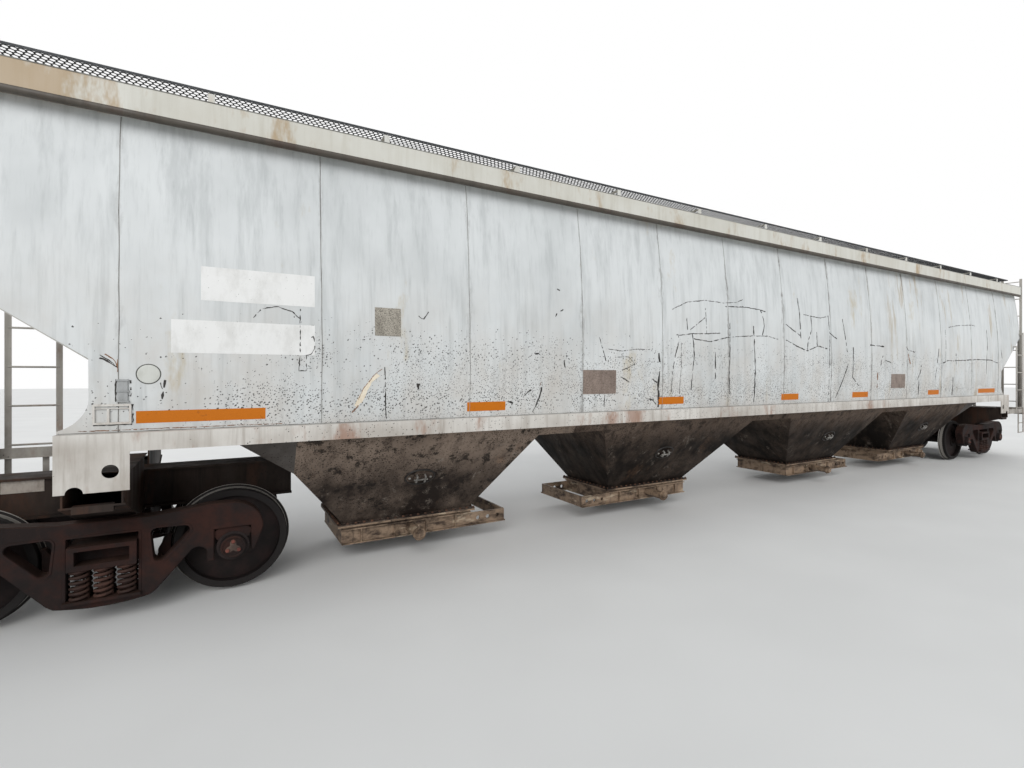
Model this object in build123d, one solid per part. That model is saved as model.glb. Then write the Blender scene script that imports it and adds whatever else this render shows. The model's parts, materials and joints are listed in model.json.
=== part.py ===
from build123d import *
import math
import os

# Covered hopper wagon: curved post-less sides, four hoppers with pneumatic outlets, two bogies.
# Millimetres. X runs along the wagon, Y across it, Z up. The origin lies under the middle of
# the wagon, level with the tips of the wheel flanges. End a is +X, and the near side is -Y.

# Wheels and rail level
flange_depth = 26.0
tread_radius = 457.0
rim_back = 676.0
rim_width = 146.0
rim_depth = 64.0
rail = flange_depth

# Bogies: places along the wagon, journals and running clearance
bogie_centre = 8230.0
wheelbase_half = 889.0
journal_y = 1003.5
cup_radius = 125.0
cup_half = 80.0
cap_radius = 104.0
cap_reach = 136.5
axle_radius = 88.0
hub_radius = 150.0
run_gap = 0.5

# Heights over the rail; the roof and the boards rise from the top of the eave
eave_low_rise = 4010.0
eave_depth = 214.0
roof_rise = 180.0
bulge_rise = 2350.0
sill_low_rise = 1400.0
sill_depth = 140.0
saddle_rise = 1295.0
outlet_rise = 385.0
knee_rise = 1056.0
slope_top_rise = 2960.0
notch_low_rise = 1814.0
notch_high_rise = 2103.0
jack_low_rise = 1109.0
jack_hole_rise = 1258.0
board_rise = 181.0
draft_low_rise = 715.0
draft_depth = 360.0
coupler_rise = 876.0
centre_plate_rise = 654.0
side_bearing_rise = 693.0

eave_low = rail + eave_low_rise
eave_high = eave_low + eave_depth
roof_top = eave_high + roof_rise
bulge_z = rail + bulge_rise
sill_low = rail + sill_low_rise
sill_high = sill_low + sill_depth
saddle_z = rail + saddle_rise
outlet_z = rail + outlet_rise
knee_z = rail + knee_rise
slope_top = rail + slope_top_rise
notch_low = rail + notch_low_rise
notch_high = rail + notch_high_rise
jack_low = rail + jack_low_rise
jack_hole_z = rail + jack_hole_rise
board_low = eave_high + board_rise
draft_low = rail + draft_low_rise
draft_top = draft_low + draft_depth
coupler_z = rail + coupler_rise
centre_plate_z = rail + centre_plate_rise
side_bearing_top = rail + side_bearing_rise
axle_z = rail + tread_radius

# Body: half-length, half-widths and sheet
body_half = 9432.0
end_plate = 10.0
sheet = 8.0
floor_drop = 11.6
bulge_y = 1457.0
foot_y = 1425.0
head_y = 1325.0
roof_seat = 60.0
sill_face_y = 1540.0
sill_end = bogie_centre + 216.0
barrel_end = body_half - end_plate
past_side = sill_face_y + 60

# Floor line from the middle to the end, and the cross-section of the hoppers
bay = 3810.0
saddle_half = 480.0
mouth_low = 1317.0
mouth_length = 1438.0
knee_x = 6850.0
mouth_half_y = 534.0
shoulder_y = 1315.0
mouth_rim = 60.0
mouth_flange = 12.0
inner_mouth = (mouth_low, mouth_low + mouth_length)
outer_mouth = (2 * bay - mouth_low - mouth_length + 19.0, 2 * bay - mouth_low + 19.0)
mouth_z = outlet_z - floor_drop - mouth_flange

# Notches at the ends of the side sheets
notch_x = 8265.0
notch_radius = 200.0

# Jacking plates
jack_half = 216.0
jack_hole_radius = 51.0
jack_hole_shift = 102.0
jack_plate = 12.0
jack_pad_x = 120.0
jack_pad_y = 80.0
jack_pad_depth = 40.0

# Hatches
hatch_pitch = 1905.0
hatch_count = 8
hatch_bore = 254.0
coaming_wall = 8.0
coaming_rise = 120.0
lid_radius = 300.0
lid_lip = 6.0
lid_skirt = 34.0
lid_plate = 8.0
lid_dome = 26.0
lid_gap = 3.0
hinge_y = 345.0
hinge_pin = 12.0
knuckle_radius = 22.0
knuckle_half = 48.0
lug_clear = 6.0
lug_width = 12.0
roof_joint = 0.6
lid_low = roof_top + coaming_rise + lid_gap
hinge_z = lid_low + lid_plate / 2

# Running boards
board_in = 640.0
board_out = 1200.0
board_depth = 30.0
board_bar = 6.0
board_half = body_half - 21.0
board_cells = 26
first_post_inset = 454.0
last_post_inset = 674.0
post_count = 13
post_width = 50.0
first_post_x = body_half - first_post_inset
post_pitch = (2 * body_half - first_post_inset - last_post_inset) / (post_count - 1)
gusset_foot = 190.0
post_plate = 8.0
crossover_width = 380.0

# Stub sills, couplers and end platforms
draft_half_y = 180.0
draft_wall = 20.0
draft_flange = 70.0
striker_x = body_half + 461.0
striker_plate = 53.0
striker_half_y = 260.0
platform_end = striker_x - striker_plate
platform_depth = 362.0
platform_t = 10.0
platform_half_y = 1500.0
post_outer_y = 1400.0
post_inner_y = 430.0
post_leg = 70.0
coupler_face = striker_x + 394.0
coupler_pin_x = striker_x - 360.0
coupler_pin_radius = 40.0
pin_gap = 0.3
centre_plate_radius = 178.0
bolster_flat = 600.0
bolster_web_x = 172.0
cover_half = 190.0
bolster_web = 12.0
bolster_cover = 14.0
bolster_rise = 120.0
bolster_tip_drop = 96.0

# Pneumatic outlets
outlet_depth = 207.0
outlet_wall = 20.0
tube_radius = 55.0
tube_drop = 90.0
tube_end = 940.0
tube_plug = 46.0
outlet_tail = 451.0
outlet_lip = 34.0
outlet_bead = 14.0
outlet_ribs = 4
tail_depth = 150.0
tail_holes = 3
tail_hole_radius = 24.0
tail_hole_pitch = 130.0

# Bogie castings, measured from the bogie's own centre
frame_in = 950.0
frame_out = 1100.0
frame_edge = 8.0
jaw_play = 14.0
nose_reach = 237.0
frame_flat = 300.0
crown_x = 734.0
belly_half = 300.0
belly_rise = 32.0
opening_radius = 42.0
opening_corners = ((296.0, 702.0), (621.0, 692.0), (330.0, 363.0))
window_half = 224.0
spring_in = 944.0
spring_out = 1076.0
spring_radius = 65.0
spring_wire = 23.0
spring_turns = 6
spring_pitch = 148.0
seat_in = 870.0
seat_out = 1150.0
seat_plate = 24.0
bearing_y = 635.0
shoe_gap = 12.0
frame_top_rise = 806.0
frame_nose_rise = 850.0
frame_low_rise = 118.0
jaw_roof_rise = 621.0
jaw_leg_rise = 351.0
window_top_rise = 689.0
seat_rise = 200.0
bolster_low_rise = 440.0
bolster_top_rise = 626.0
brake_beam_rise = 380.0

frame_top = rail + frame_top_rise
frame_nose_top = rail + frame_nose_rise
frame_low = rail + frame_low_rise
jaw_roof = rail + jaw_roof_rise
window_top = rail + window_top_rise
seat_z = rail + seat_rise
beam_low = rail + bolster_low_rise
beam_top = rail + bolster_top_rise
beam_belly = 70.0
beam_flat_half = 420.0
beam_slope_half = 760.0
brake_beam_z = rail + brake_beam_rise
jaw_half = cup_radius + jaw_play

# Ladders, steps and brake gear
ladder_face = 1513.0
ladder_bar = 10.0
ladder_stile = 56.0
rung_radius = 11.0
rung_pitch = 430.0
rung_count = 4
end_rung_count = 8
stile_lap = 110.0
side_clear = 0.4
step_rise = 590.0
stile_in_x = body_half - 457.0
stile_out_x = body_half - 40.0
end_ladder_in = 1060.0
end_ladder_out = 1440.0
end_ladder_stand = 62.0
post_stand = 70.0
reservoir_radius = 190.0
reservoir_half = 430.0
reservoir_shift = 560.0
cylinder_shift = 960.0
reservoir_x = bogie_centre + reservoir_shift
cylinder_x = bogie_centre + cylinder_shift
cylinder_radius = 130.0
cylinder_half = 200.0
tank_stand = 45.0
brake_wheel_radius = 280.0
brake_wheel_rim = 14.0
brake_wheel_y = 480.0
brake_wheel_lift = 700.0
brake_case = 130.0
brake_spokes = 5
chain_rod_radius = 12.0
train_pipe_drop = 30.0
pipe_clips = 9
train_pipe_radius = 21.0

parts = {}


# Basic forms

def box(x0, x1, y0, y1, z0, z1):
    """Block between two corners."""
    size = (abs(x1 - x0), abs(y1 - y0), abs(z1 - z0))
    return Pos((x0 + x1) / 2, (y0 + y1) / 2, (z0 + z1) / 2) * Box(*size)


def rod_x(y, z, radius, x0, x1):
    """Round bar along X."""
    return Pos((x0 + x1) / 2, y, z) * Rot(0, 90, 0) * Cylinder(radius, abs(x1 - x0))


def rod_y(x, z, radius, y0, y1):
    """Round bar along Y."""
    return Pos(x, (y0 + y1) / 2, z) * Rot(90, 0, 0) * Cylinder(radius, abs(y1 - y0))


def rod_z(x, y, radius, z0, z1):
    """Round bar along Z."""
    return Pos(x, y, (z0 + z1) / 2) * Cylinder(radius, abs(z1 - z0))


def drawn_x(face, x0, x1):
    """A face drawn in Y and Z, carried along X."""
    return Pos(min(x0, x1), 0, 0) * (Plane.YZ * extrude(face, amount=abs(x1 - x0)))


def drawn_y(face, y0, y1):
    """A face drawn in X and Z, carried along Y."""
    return Pos(0, max(y0, y1), 0) * (Plane.XZ * extrude(face, amount=abs(y1 - y0)))


def plate_yz(points, x0, x1):
    """Flat plate with an outline in Y and Z."""
    return drawn_x(make_face(Polyline(*points, close=True)), x0, x1)


def plate_xz(points, y0, y1):
    """Flat plate with an outline in X and Z."""
    return drawn_y(make_face(Polyline(*points, close=True)), y0, y1)


def plate_xy(points, z0, z1):
    """Flat plate with an outline in X and Y."""
    face = make_face(Polyline(*points, close=True))
    return Pos(0, 0, min(z0, z1)) * extrude(face, amount=abs(z1 - z0))


def across(shape):
    """The same piece on the other side of the wagon."""
    return mirror(shape, about=Plane.XZ)


def along(shape):
    """The same piece at the other end of the wagon."""
    return mirror(shape, about=Plane.YZ)


def turned(shape):
    """The same piece at the other end and on the other side."""
    return Rot(0, 0, 180) * shape


def welded(pieces):
    """Touching pieces as one solid."""
    whole = pieces[0]
    for piece in pieces[1:]:
        whole = whole + piece
    return whole


def loose(pieces):
    """Pieces that don't touch, kept in one node."""
    return Compound(children=list(pieces))


# Body sheets

def side_line(inset):
    """Foot, bulge and head of one side's arc, moved inward by inset."""
    foot = (foot_y - inset, sill_low + sheet)
    bulge = (bulge_y - inset, bulge_z)
    head = (head_y - inset, eave_low)
    return foot, bulge, head


def whole_side():
    """Curved side sheet before its ends are notched, on the +Y side."""
    foot, bulge, head = side_line(0)
    foot_in, bulge_in, head_in = side_line(sheet)
    edge = ThreePointArc(foot, bulge, head) + Line(head, head_in)
    edge += ThreePointArc(head_in, bulge_in, foot_in) + Line(foot_in, foot)
    return drawn_x(make_face(edge), -barrel_end, barrel_end)


def end_notch():
    """Space under the end slope that a side sheet leaves open, at the +X end."""
    slope = (slope_top - notch_high) / (body_half - notch_x)
    far = body_half + sill_depth
    below = sill_low - sill_depth
    ledge = sill_high + 3 * sheet
    far_top = (far, notch_high + slope * (far - notch_x))
    edge = Polyline((notch_x, notch_low), (notch_x, notch_high), far_top, (far, below))
    edge += Polyline((far, below), (sill_end, below), (sill_end, ledge))
    bend = (notch_x + 0.19 * notch_radius, notch_low - 0.7 * notch_radius)
    edge += ThreePointArc((sill_end, ledge), bend, (notch_x, notch_low))
    return drawn_y(make_face(edge), 0, past_side)


def side_sheet():
    """Curved side sheet with a notch at each end, on the +Y side."""
    notch = end_notch()
    return whole_side() - notch - along(notch)


def hold_section(grow):
    """Cross-section of the load space, its hopper sides moved outward by grow."""
    run = (shoulder_y - mouth_half_y) / (sill_low - outlet_z)
    aside = grow * math.sqrt(1 + run * run)
    below = outlet_z - 2 * mouth_rim
    low_y = mouth_half_y - run * 2 * mouth_rim + aside
    foot, bulge, head = side_line(sheet)
    edge = Polyline((low_y, below), (shoulder_y + aside, sill_low), (shoulder_y + aside, foot[1]), foot)
    edge += ThreePointArc(foot, bulge, head)
    edge += Line(head, (head[0], eave_high))
    other = mirror(edge, about=Plane.YZ)
    top = Line((head[0], eave_high), (-head[0], eave_high))
    return make_face(edge + top + other + Line((-low_y, below), (low_y, below)))


def floor_line(drop):
    """Floor of the load space from end to end, lowered by drop."""
    half = [(0, saddle_z), (saddle_half, saddle_z)]
    half += [(inner_mouth[0], outlet_z), (inner_mouth[1], outlet_z)]
    half += [(bay - saddle_half, saddle_z), (bay + saddle_half, saddle_z)]
    half += [(outer_mouth[0], outlet_z), (outer_mouth[1], outlet_z), (knee_x, knee_z)]
    half += [(barrel_end, slope_top)]
    full = [(-x, z) for x, z in reversed(half[1:])] + half
    return [(x, z - drop) for x, z in full]


def over_floor(drop):
    """Everything above the floor line."""
    high = roof_top + coaming_rise
    return plate_xz(floor_line(drop) + [(barrel_end, high), (-barrel_end, high)], -past_side, past_side)


def load_space():
    """The load space itself, as a solid."""
    return drawn_x(hold_section(0), -body_half, body_half) & over_floor(0)


def hopper_sheets(hold):
    """Floor sheets and hopper sides of the whole wagon, before they are cut apart."""
    band = plate_xz(floor_line(0) + list(reversed(floor_line(floor_drop))), -past_side, past_side)
    inside = drawn_x(hold_section(0), -body_half, body_half)
    sides = drawn_x(hold_section(sheet), -body_half, body_half) - inside
    under_sill = box(-body_half, body_half, -past_side, past_side, 0, sill_low)
    sides = sides & over_floor(floor_drop) & under_sill
    shell = (band & inside) + sides
    for low, high in (inner_mouth, outer_mouth):
        hole = box(low, high, -mouth_half_y, mouth_half_y, mouth_z, outlet_z)
        shell = shell - hole - along(hole)
    return shell - hold


def mouth_collar(mouth):
    """Neck and bolting flange round the lower mouth of one hopper."""
    low, high = mouth
    y = mouth_half_y
    out = y + mouth_rim
    rim = box(low - mouth_rim, high + mouth_rim, -out, out, mouth_z, mouth_z + mouth_flange)
    neck = box(low - sheet, high + sheet, -y - sheet, y + sheet, mouth_z, outlet_z)
    return rim + neck - box(low, high, -y, y, mouth_z - sheet, outlet_z + sheet)


def vibrator_pad(mouth):
    """Oval pad with a socket on the sloping side of a hopper, on the -Y side."""
    rise = sill_low - outlet_z
    run = shoulder_y - mouth_half_y
    length = math.hypot(rise, run)
    y = mouth_half_y + 0.49 * run + sheet * rise / length
    z = outlet_z + 0.49 * rise - sheet * run / length
    face = Plane(origin=((mouth[0] + mouth[1]) / 2, -y, z), x_dir=(1, 0, 0), z_dir=(0, -rise, -run))
    oval = face * extrude(SlotOverall(300, 130), amount=14)
    socket = face * extrude(SlotOverall(150, 62), amount=40)
    return oval + socket


def end_wall():
    """Flat end sheet above the end slope, at the +X end."""
    foot, bulge, head = side_line(0)
    right = ThreePointArc(foot, bulge, head)
    right += Polyline(head, (bulge_y, eave_low), (bulge_y, eave_high))
    left = mirror(right, about=Plane.YZ)
    top = ThreePointArc((bulge_y, eave_high), (0, roof_top), (-bulge_y, eave_high))
    wall = drawn_x(make_face(right + top + left + Line((-foot[0], foot[1]), foot)), barrel_end, body_half)
    low = slope_top - floor_drop - mouth_rim
    return wall & box(0, body_half + sheet, -past_side, past_side, low, roof_top + sheet)


def side_sill():
    """Side sill, a pressed channel with its two jacking plates, on the +Y side."""
    face_in = sill_face_y - sheet
    ledge = box(-sill_end, sill_end, foot_y - sheet, sill_face_y, sill_high - sheet, sill_high)
    ledge = (ledge - whole_side()).solids().sort_by(Axis.Y)[-1]
    face = box(-sill_end, sill_end, face_in, sill_face_y, sill_low, sill_high)
    floor = box(-sill_end, sill_end, shoulder_y, sill_face_y, sill_low, sill_low + sheet)
    sill = ledge + face + floor
    for end in (-1, 1):
        x = end * bogie_centre
        plate = box(x - jack_half, x + jack_half, sill_face_y - jack_plate, sill_face_y, jack_low, sill_low)
        hole = x - end * jack_hole_shift
        notch = x + end * jack_hole_shift
        plate -= rod_y(hole, jack_hole_z, jack_hole_radius, foot_y, past_side)
        plate -= rod_y(notch, jack_low, jack_hole_radius, foot_y, past_side)
        sill = sill + plate
    return sill


def eave():
    """Channel along the top of one side, its face flush with the bulge, on the +Y side."""
    back = head_y - sheet
    face = box(-barrel_end, barrel_end, bulge_y - sheet, bulge_y, eave_low, eave_high)
    foot = box(-barrel_end, barrel_end, back, bulge_y, eave_low, eave_low + sheet)
    top = box(-barrel_end, barrel_end, back, bulge_y, eave_high - sheet, eave_high)
    return face + foot + top


def make_body():
    """Sheets, sills, chords and end walls."""
    hold = load_space()
    shell = hopper_sheets(hold)
    # name, inner end, outer end, mouth, whether the mouth is mirrored to the -X half
    hoppers = (
        ("hopper_1", -knee_x, -bay, outer_mouth, True),
        ("hopper_2", -bay, 0, inner_mouth, True),
        ("hopper_3", 0, bay, inner_mouth, False),
        ("hopper_4", bay, knee_x, outer_mouth, False),
    )
    for name, x0, x1, mouth, mirrored in hoppers:
        pad = vibrator_pad(mouth)
        fitting = mouth_collar(mouth) - hold + pad + across(pad)
        fitting = along(fitting) if mirrored else fitting
        parts[name] = (shell & box(x0, x1, -past_side, past_side, 0, sill_low)) + fitting
    slope = shell & box(knee_x, body_half, -past_side, past_side, 0, roof_top)
    parts["end_slope_a"] = slope
    parts["end_slope_b"] = along(slope)
    wall = end_wall()
    parts["end_wall_a"] = wall
    parts["end_wall_b"] = along(wall)
    for name, piece in (("side_sheet", side_sheet()), ("side_sill", side_sill()), ("eave", eave())):
        parts[name + "_far"] = piece
        parts[name + "_near"] = across(piece)


# Roof

def roof_arc(half, rise):
    """Arc over the body from eave to eave."""
    return ThreePointArc((-half, eave_high), (0, eave_high + rise), (half, eave_high))


def roof_z(y):
    """Height of the roof's outer face at a distance y from the middle."""
    radius = (bulge_y ** 2 + roof_rise ** 2) / (2 * roof_rise)
    return roof_top - radius + math.sqrt(radius ** 2 - y ** 2)


def under_roof_face():
    """Everything below the outer face of the roof."""
    arc = roof_arc(bulge_y, roof_rise)
    edge = arc + Polyline((bulge_y, eave_high), (bulge_y, 0), (-bulge_y, 0), (-bulge_y, eave_high))
    return drawn_x(make_face(edge), -body_half, body_half)


def hatch_places():
    """Distances of the hatches from the middle of the wagon."""
    return [hatch_pitch * (i - (hatch_count - 1) / 2) for i in range(hatch_count)]


def hinge_lug(x):
    """Two lugs on the roof and the pin that they hold, for one hatch."""
    low = roof_z(hinge_y + 2 * knuckle_radius) - sheet / 2
    pieces = []
    for side in (-1, 1):
        near = x + side * (knuckle_half + lug_clear)
        far = near + side * lug_width
        foot = [(hinge_y - 1.5 * knuckle_radius, low), (hinge_y + 2 * knuckle_radius, low)]
        head = [(hinge_y + knuckle_radius, hinge_z), (hinge_y - knuckle_radius, hinge_z)]
        pieces.append(plate_yz(foot + head, near, far) + rod_x(hinge_y, hinge_z, knuckle_radius, near, far))
    reach = knuckle_half + lug_clear + lug_width
    return welded(pieces + [rod_x(hinge_y, hinge_z, hinge_pin, x - reach, x + reach)])


def roof():
    """Arched roof of butt-jointed sheets, one hatch with its coaming and hinge lugs on each bay."""
    inner_half = bulge_y - roof_seat
    edge = roof_arc(bulge_y, roof_rise) + roof_arc(inner_half, roof_rise - sheet)
    edge += Line((inner_half, eave_high), (bulge_y, eave_high))
    edge += Line((-bulge_y, eave_high), (-inner_half, eave_high))
    whole = drawn_x(make_face(edge), -barrel_end, barrel_end)
    outer_r = hatch_bore + coaming_wall
    low = roof_z(outer_r) - 2 * sheet
    high = roof_top + coaming_rise
    for x in hatch_places():
        whole = whole + rod_z(x, 0, outer_r, low, high) + hinge_lug(x)
        whole -= rod_z(x, 0, hatch_bore, low - mouth_rim, high + sheet)
    bays = hatch_count // 2
    for bay_joint in range(-bays, bays + 1):
        x = bay_joint * hatch_pitch
        whole -= box(x - roof_joint / 2, x + roof_joint / 2, -past_side, past_side, eave_high - sheet, high)
    return loose(whole.solids())


def hatch_lid(x):
    """Round hatch lid with a skirt, a shallow dome, a clamp lug and its hinge arm."""
    rim = lid_radius + lid_lip
    top = lid_low + lid_plate
    profile = [(0, lid_low), (lid_radius, lid_low), (lid_radius, lid_low - lid_skirt)]
    profile += [(rim, lid_low - lid_skirt), (rim, top), (lid_radius - 40, top)]
    profile += [(lid_radius - 80, top + 0.7 * lid_dome), (0, top + lid_dome)]
    disc = Pos(x, 0, 0) * revolve(Plane.XZ * make_face(Polyline(*profile, close=True)), Axis.Z)
    arm = box(x - knuckle_half, x + knuckle_half, lid_radius - 80, hinge_y, top - lid_plate, top)
    clamp = box(x - 30, x + 30, -rim - 50, -lid_radius + 40, top - 4, top + 12)
    knuckle = rod_x(hinge_y, hinge_z, knuckle_radius, x - knuckle_half, x + knuckle_half)
    eye = rod_x(hinge_y, hinge_z, hinge_pin + run_gap, x - 2 * knuckle_half, x + 2 * knuckle_half)
    return disc + arm + clamp + knuckle - eye


def running_board():
    """Open running board along the roof, on the +Y side."""
    top = board_low + board_depth
    mid_low = top - 0.75 * board_depth
    bars = []
    for y in (board_in, board_out - board_bar):
        bars.append(box(-board_half, board_half, y, y + board_bar, board_low, top))
    for step in (1, 2):
        y = board_in + step * (board_out - board_in) / 3
        bars.append(box(-board_half, board_half, y - board_bar / 2, y + board_bar / 2, mid_low, top))
    pitch = (2 * board_half - board_bar) / board_cells
    for index in range(board_cells + 1):
        x = -board_half + index * pitch
        bars.append(box(x, x + board_bar, board_in, board_out, mid_low, top))
    return welded(bars)


def crossover():
    """Open board across the roof at the +X end, between the two running boards."""
    top = board_low + board_depth
    low = top - 0.75 * board_depth
    inner = board_half - crossover_width
    reach = board_in - run_gap
    bars = []
    for x in (inner, (inner + board_half - board_bar) / 2, board_half - board_bar):
        bars.append(box(x, x + board_bar, -reach, reach, low, top))
    for y in (-reach, -reach / 3, reach / 3, reach - board_bar):
        bars.append(box(inner, board_half, y, y + board_bar, low, top))
    return welded(bars)


def board_posts():
    """Supports of the running board on the +Y side, seated on the roof's curve."""
    below = under_roof_face()
    half = post_width / 2
    bar_low = board_low - post_plate
    outer = board_out - post_plate
    pieces = []
    for index in range(post_count):
        x = first_post_x - post_pitch * index
        bar = box(x - half, x + half, board_in, board_out, bar_low, board_low)
        leg = box(x - half, x + half, outer, board_out, eave_low, bar_low)
        if index > 1 and index % 2:
            web = [(x - half, eave_low), (x + gusset_foot, eave_low)]
            web += [(x + half, bar_low), (x - half, bar_low)]
            leg = plate_xz(web, outer, board_out)
        rest = box(x - half, x + half, board_in, board_in + post_plate, eave_low, bar_low)
        pieces.append((bar + leg + rest) - below)
    return loose(pieces)


def make_roof():
    """Roof, running boards with their posts, and the hatch lids."""
    parts["roof"] = roof()
    board = running_board()
    parts["running_board_far"] = board
    parts["running_board_near"] = turned(board)
    cross = crossover()
    parts["crossovers"] = loose([cross, along(cross)])
    posts = board_posts()
    parts["board_posts_far"] = posts
    parts["board_posts_near"] = turned(posts)
    for index, x in enumerate(hatch_places()):
        parts["hatch_lid_%d" % (index + 1)] = hatch_lid(x)


# Ends of the underframe

def draft_sill(under_floor):
    """Stub sill with its striker, centre plate and coupler pin, at the +X end."""
    start = knee_x - mouth_rim
    web_in = draft_half_y - draft_wall
    cap_low = draft_top - draft_wall
    flange_top = draft_low + draft_wall
    pieces = [box(start, platform_end, -draft_half_y - 30, draft_half_y + 30, cap_low, draft_top)]
    for side in (-1, 1):
        pieces.append(box(start, platform_end, side * web_in, side * draft_half_y, draft_low, cap_low))
        foot = side * (draft_half_y + draft_flange)
        for low_x, high_x in ((start, bogie_centre - cover_half), (bogie_centre + cover_half, platform_end)):
            pieces.append(box(low_x, high_x, side * web_in, foot, draft_low, flange_top))
    mouth_y = 150
    striker = box(platform_end, striker_x, -striker_half_y, striker_half_y, draft_low - 30, draft_top + 40)
    striker -= box(platform_end - 1, striker_x + 1, -mouth_y, mouth_y, coupler_z - 130, coupler_z + 120)
    pieces.append(striker)
    rest = box(platform_end, striker_x + 60, -mouth_y, mouth_y, draft_low - 30, coupler_z - 130)
    pieces.append(rest)
    low = draft_low - draft_wall
    near = bogie_centre - cover_half
    far = bogie_centre + cover_half
    pieces.append(box(near, far, -draft_half_y, draft_half_y, low, draft_low))
    pieces.append(rod_z(bogie_centre, 0, centre_plate_radius, centre_plate_z, low))
    pieces.append(box(coupler_pin_x - 60, coupler_pin_x + 60, -web_in, web_in, draft_low, flange_top))
    pieces.append(rod_z(coupler_pin_x, 0, coupler_pin_radius, draft_low, cap_low))
    return welded(pieces) - under_floor


def body_bolster():
    """Box beam over the bogie, in two halves from the stub sill out to the jacking plates."""
    plate_y = sill_face_y - jack_plate
    top = jack_low + bolster_rise
    inner = draft_half_y + 30
    low_tip = jack_low - bolster_tip_drop
    cap_low = draft_top - draft_wall
    floor_tip = foot_y - 2 * sheet
    halves = []
    for side in (-1, 1):
        web = [(draft_half_y, draft_low), (draft_half_y, cap_low), (inner, cap_low)]
        web += [(inner, top), (plate_y, top), (plate_y, low_tip), (bolster_flat, draft_low)]
        cover = [(draft_half_y, draft_low), (bolster_flat, draft_low), (plate_y, low_tip)]
        cover += [(plate_y, low_tip - bolster_cover), (bolster_flat + 4, draft_low - bolster_cover)]
        cover += [(draft_half_y, draft_low - bolster_cover)]
        x = bogie_centre
        pieces = []
        for web_x in (x - bolster_web_x, x + bolster_web_x):
            outline = [(side * y, z) for y, z in web]
            pieces.append(plate_yz(outline, web_x - bolster_web / 2, web_x + bolster_web / 2))
        reach = bolster_web_x + 30
        pieces.append(plate_yz([(side * y, z) for y, z in cover], x - cover_half, x + cover_half))
        pieces.append(box(x - reach, x + reach, side * inner, side * floor_tip, top, top + sheet))
        pad_y = side * (plate_y - jack_pad_y)
        pad_low = low_tip - bolster_cover - jack_pad_depth
        pieces.append(box(x - jack_pad_x, x + jack_pad_x, pad_y, side * plate_y, pad_low, low_tip))
        rub_low = draft_low - bolster_cover - 5
        rub_y = side * bearing_y
        pieces.append(box(x - 90, x + 90, rub_y - 50, rub_y + 50, rub_low, draft_low))
        halves.append(welded(pieces))
    return loose(halves)


def end_platform():
    """End beam and grating across the wagon's end, with the side member at the ladder corner."""
    z0 = draft_top
    start = platform_end - platform_depth
    top = z0 + platform_t
    half = platform_half_y
    deck = box(start, platform_end, -half, half, z0, top)
    beam = box(platform_end, platform_end + 12, -half - 12, half + 12, z0 - 60, z0 + 110)
    beam -= box(platform_end - 1, platform_end + 13, -striker_half_y, striker_half_y, z0 - 61, z0 + 41)
    side = box(sill_end, platform_end, -half - 12, -half, z0, z0 + 110)
    lip = box(sill_end, start, -half, -half + 60, z0, top)
    short = box(start, platform_end, half, half + 12, z0, z0 + 110)
    tie = box(sill_end, sill_end + 60, -half, -draft_half_y - 30, z0 - 60, z0)
    return welded([deck, beam, side, lip, short, tie])


def end_posts(under_floor):
    """Angle posts that carry the end slope on the platform, at the +X end."""
    z0 = draft_top + platform_t
    start = body_half + post_stand
    top = slope_top + 3 * mouth_rim
    pieces = []
    for y in (-post_outer_y, -post_inner_y, post_inner_y, post_outer_y):
        leg = box(start, start + post_leg, y - 5, y + 5, z0, top)
        leg += box(start, start + 10, y - post_leg / 2, y + post_leg / 2, z0, top)
        tab = box(body_half, start, y - 5, y + 5, slope_top - mouth_rim, slope_top + mouth_rim)
        pieces.append(leg + tab)
    return loose([piece - under_floor for piece in pieces])


def coupler():
    """Automatic coupler with its shank and knuckle, at the +X end."""
    face = coupler_face
    neck = face - 300
    low = coupler_z - 140
    high = coupler_z + 140
    shank = box(coupler_pin_x - 60, neck + 20, -65, 65, coupler_z - 80, coupler_z + 80)
    head = [(neck, -70), (neck + 80, -150), (face - 60, -172), (face + 16, -160), (face + 20, -118)]
    head += [(face - 86, -62), (face - 132, 0), (face - 112, 44), (face - 96, 96), (face - 110, 158)]
    head += [(neck + 90, 150), (neck, 70)]
    lip = [(face - 112, 40), (face - 40, 34), (face, 14), (face + 16, 44), (face + 4, 112)]
    lip += [(face - 36, 152), (face - 112, 158)]
    knuckle = plate_xy(lip, low + 8, high - 8)
    pin = rod_z(face - 66, 108, 22, low - 10, high + 18)
    eye = rod_z(coupler_pin_x, 0, coupler_pin_radius + pin_gap, draft_low, draft_top)
    return shank + plate_xy(head, low, high) + knuckle + pin - eye


def make_ends():
    """Stub sills, bolsters, platforms, posts and couplers at both ends."""
    line = floor_line(floor_drop)
    high = roof_top + coaming_rise
    body = plate_xz(line + [(barrel_end, high), (-barrel_end, high)], -past_side, past_side)
    body += box(barrel_end, body_half, -past_side, past_side, slope_top - floor_drop - mouth_rim, high)
    body += box(-body_half, -barrel_end, -past_side, past_side, slope_top - floor_drop - mouth_rim, high)
    sill = draft_sill(body)
    parts["draft_sill_a"] = sill
    parts["draft_sill_b"] = along(sill)
    bolster = body_bolster()
    parts["body_bolster_a"] = bolster
    parts["body_bolster_b"] = along(bolster)
    platform = end_platform()
    parts["end_platform_a"] = platform
    parts["end_platform_b"] = turned(platform)
    posts = end_posts(body)
    parts["end_posts_a"] = posts
    parts["end_posts_b"] = turned(posts)
    hook = coupler()
    parts["coupler_a"] = hook
    parts["coupler_b"] = turned(hook)


# Ladders and brake gear

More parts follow.
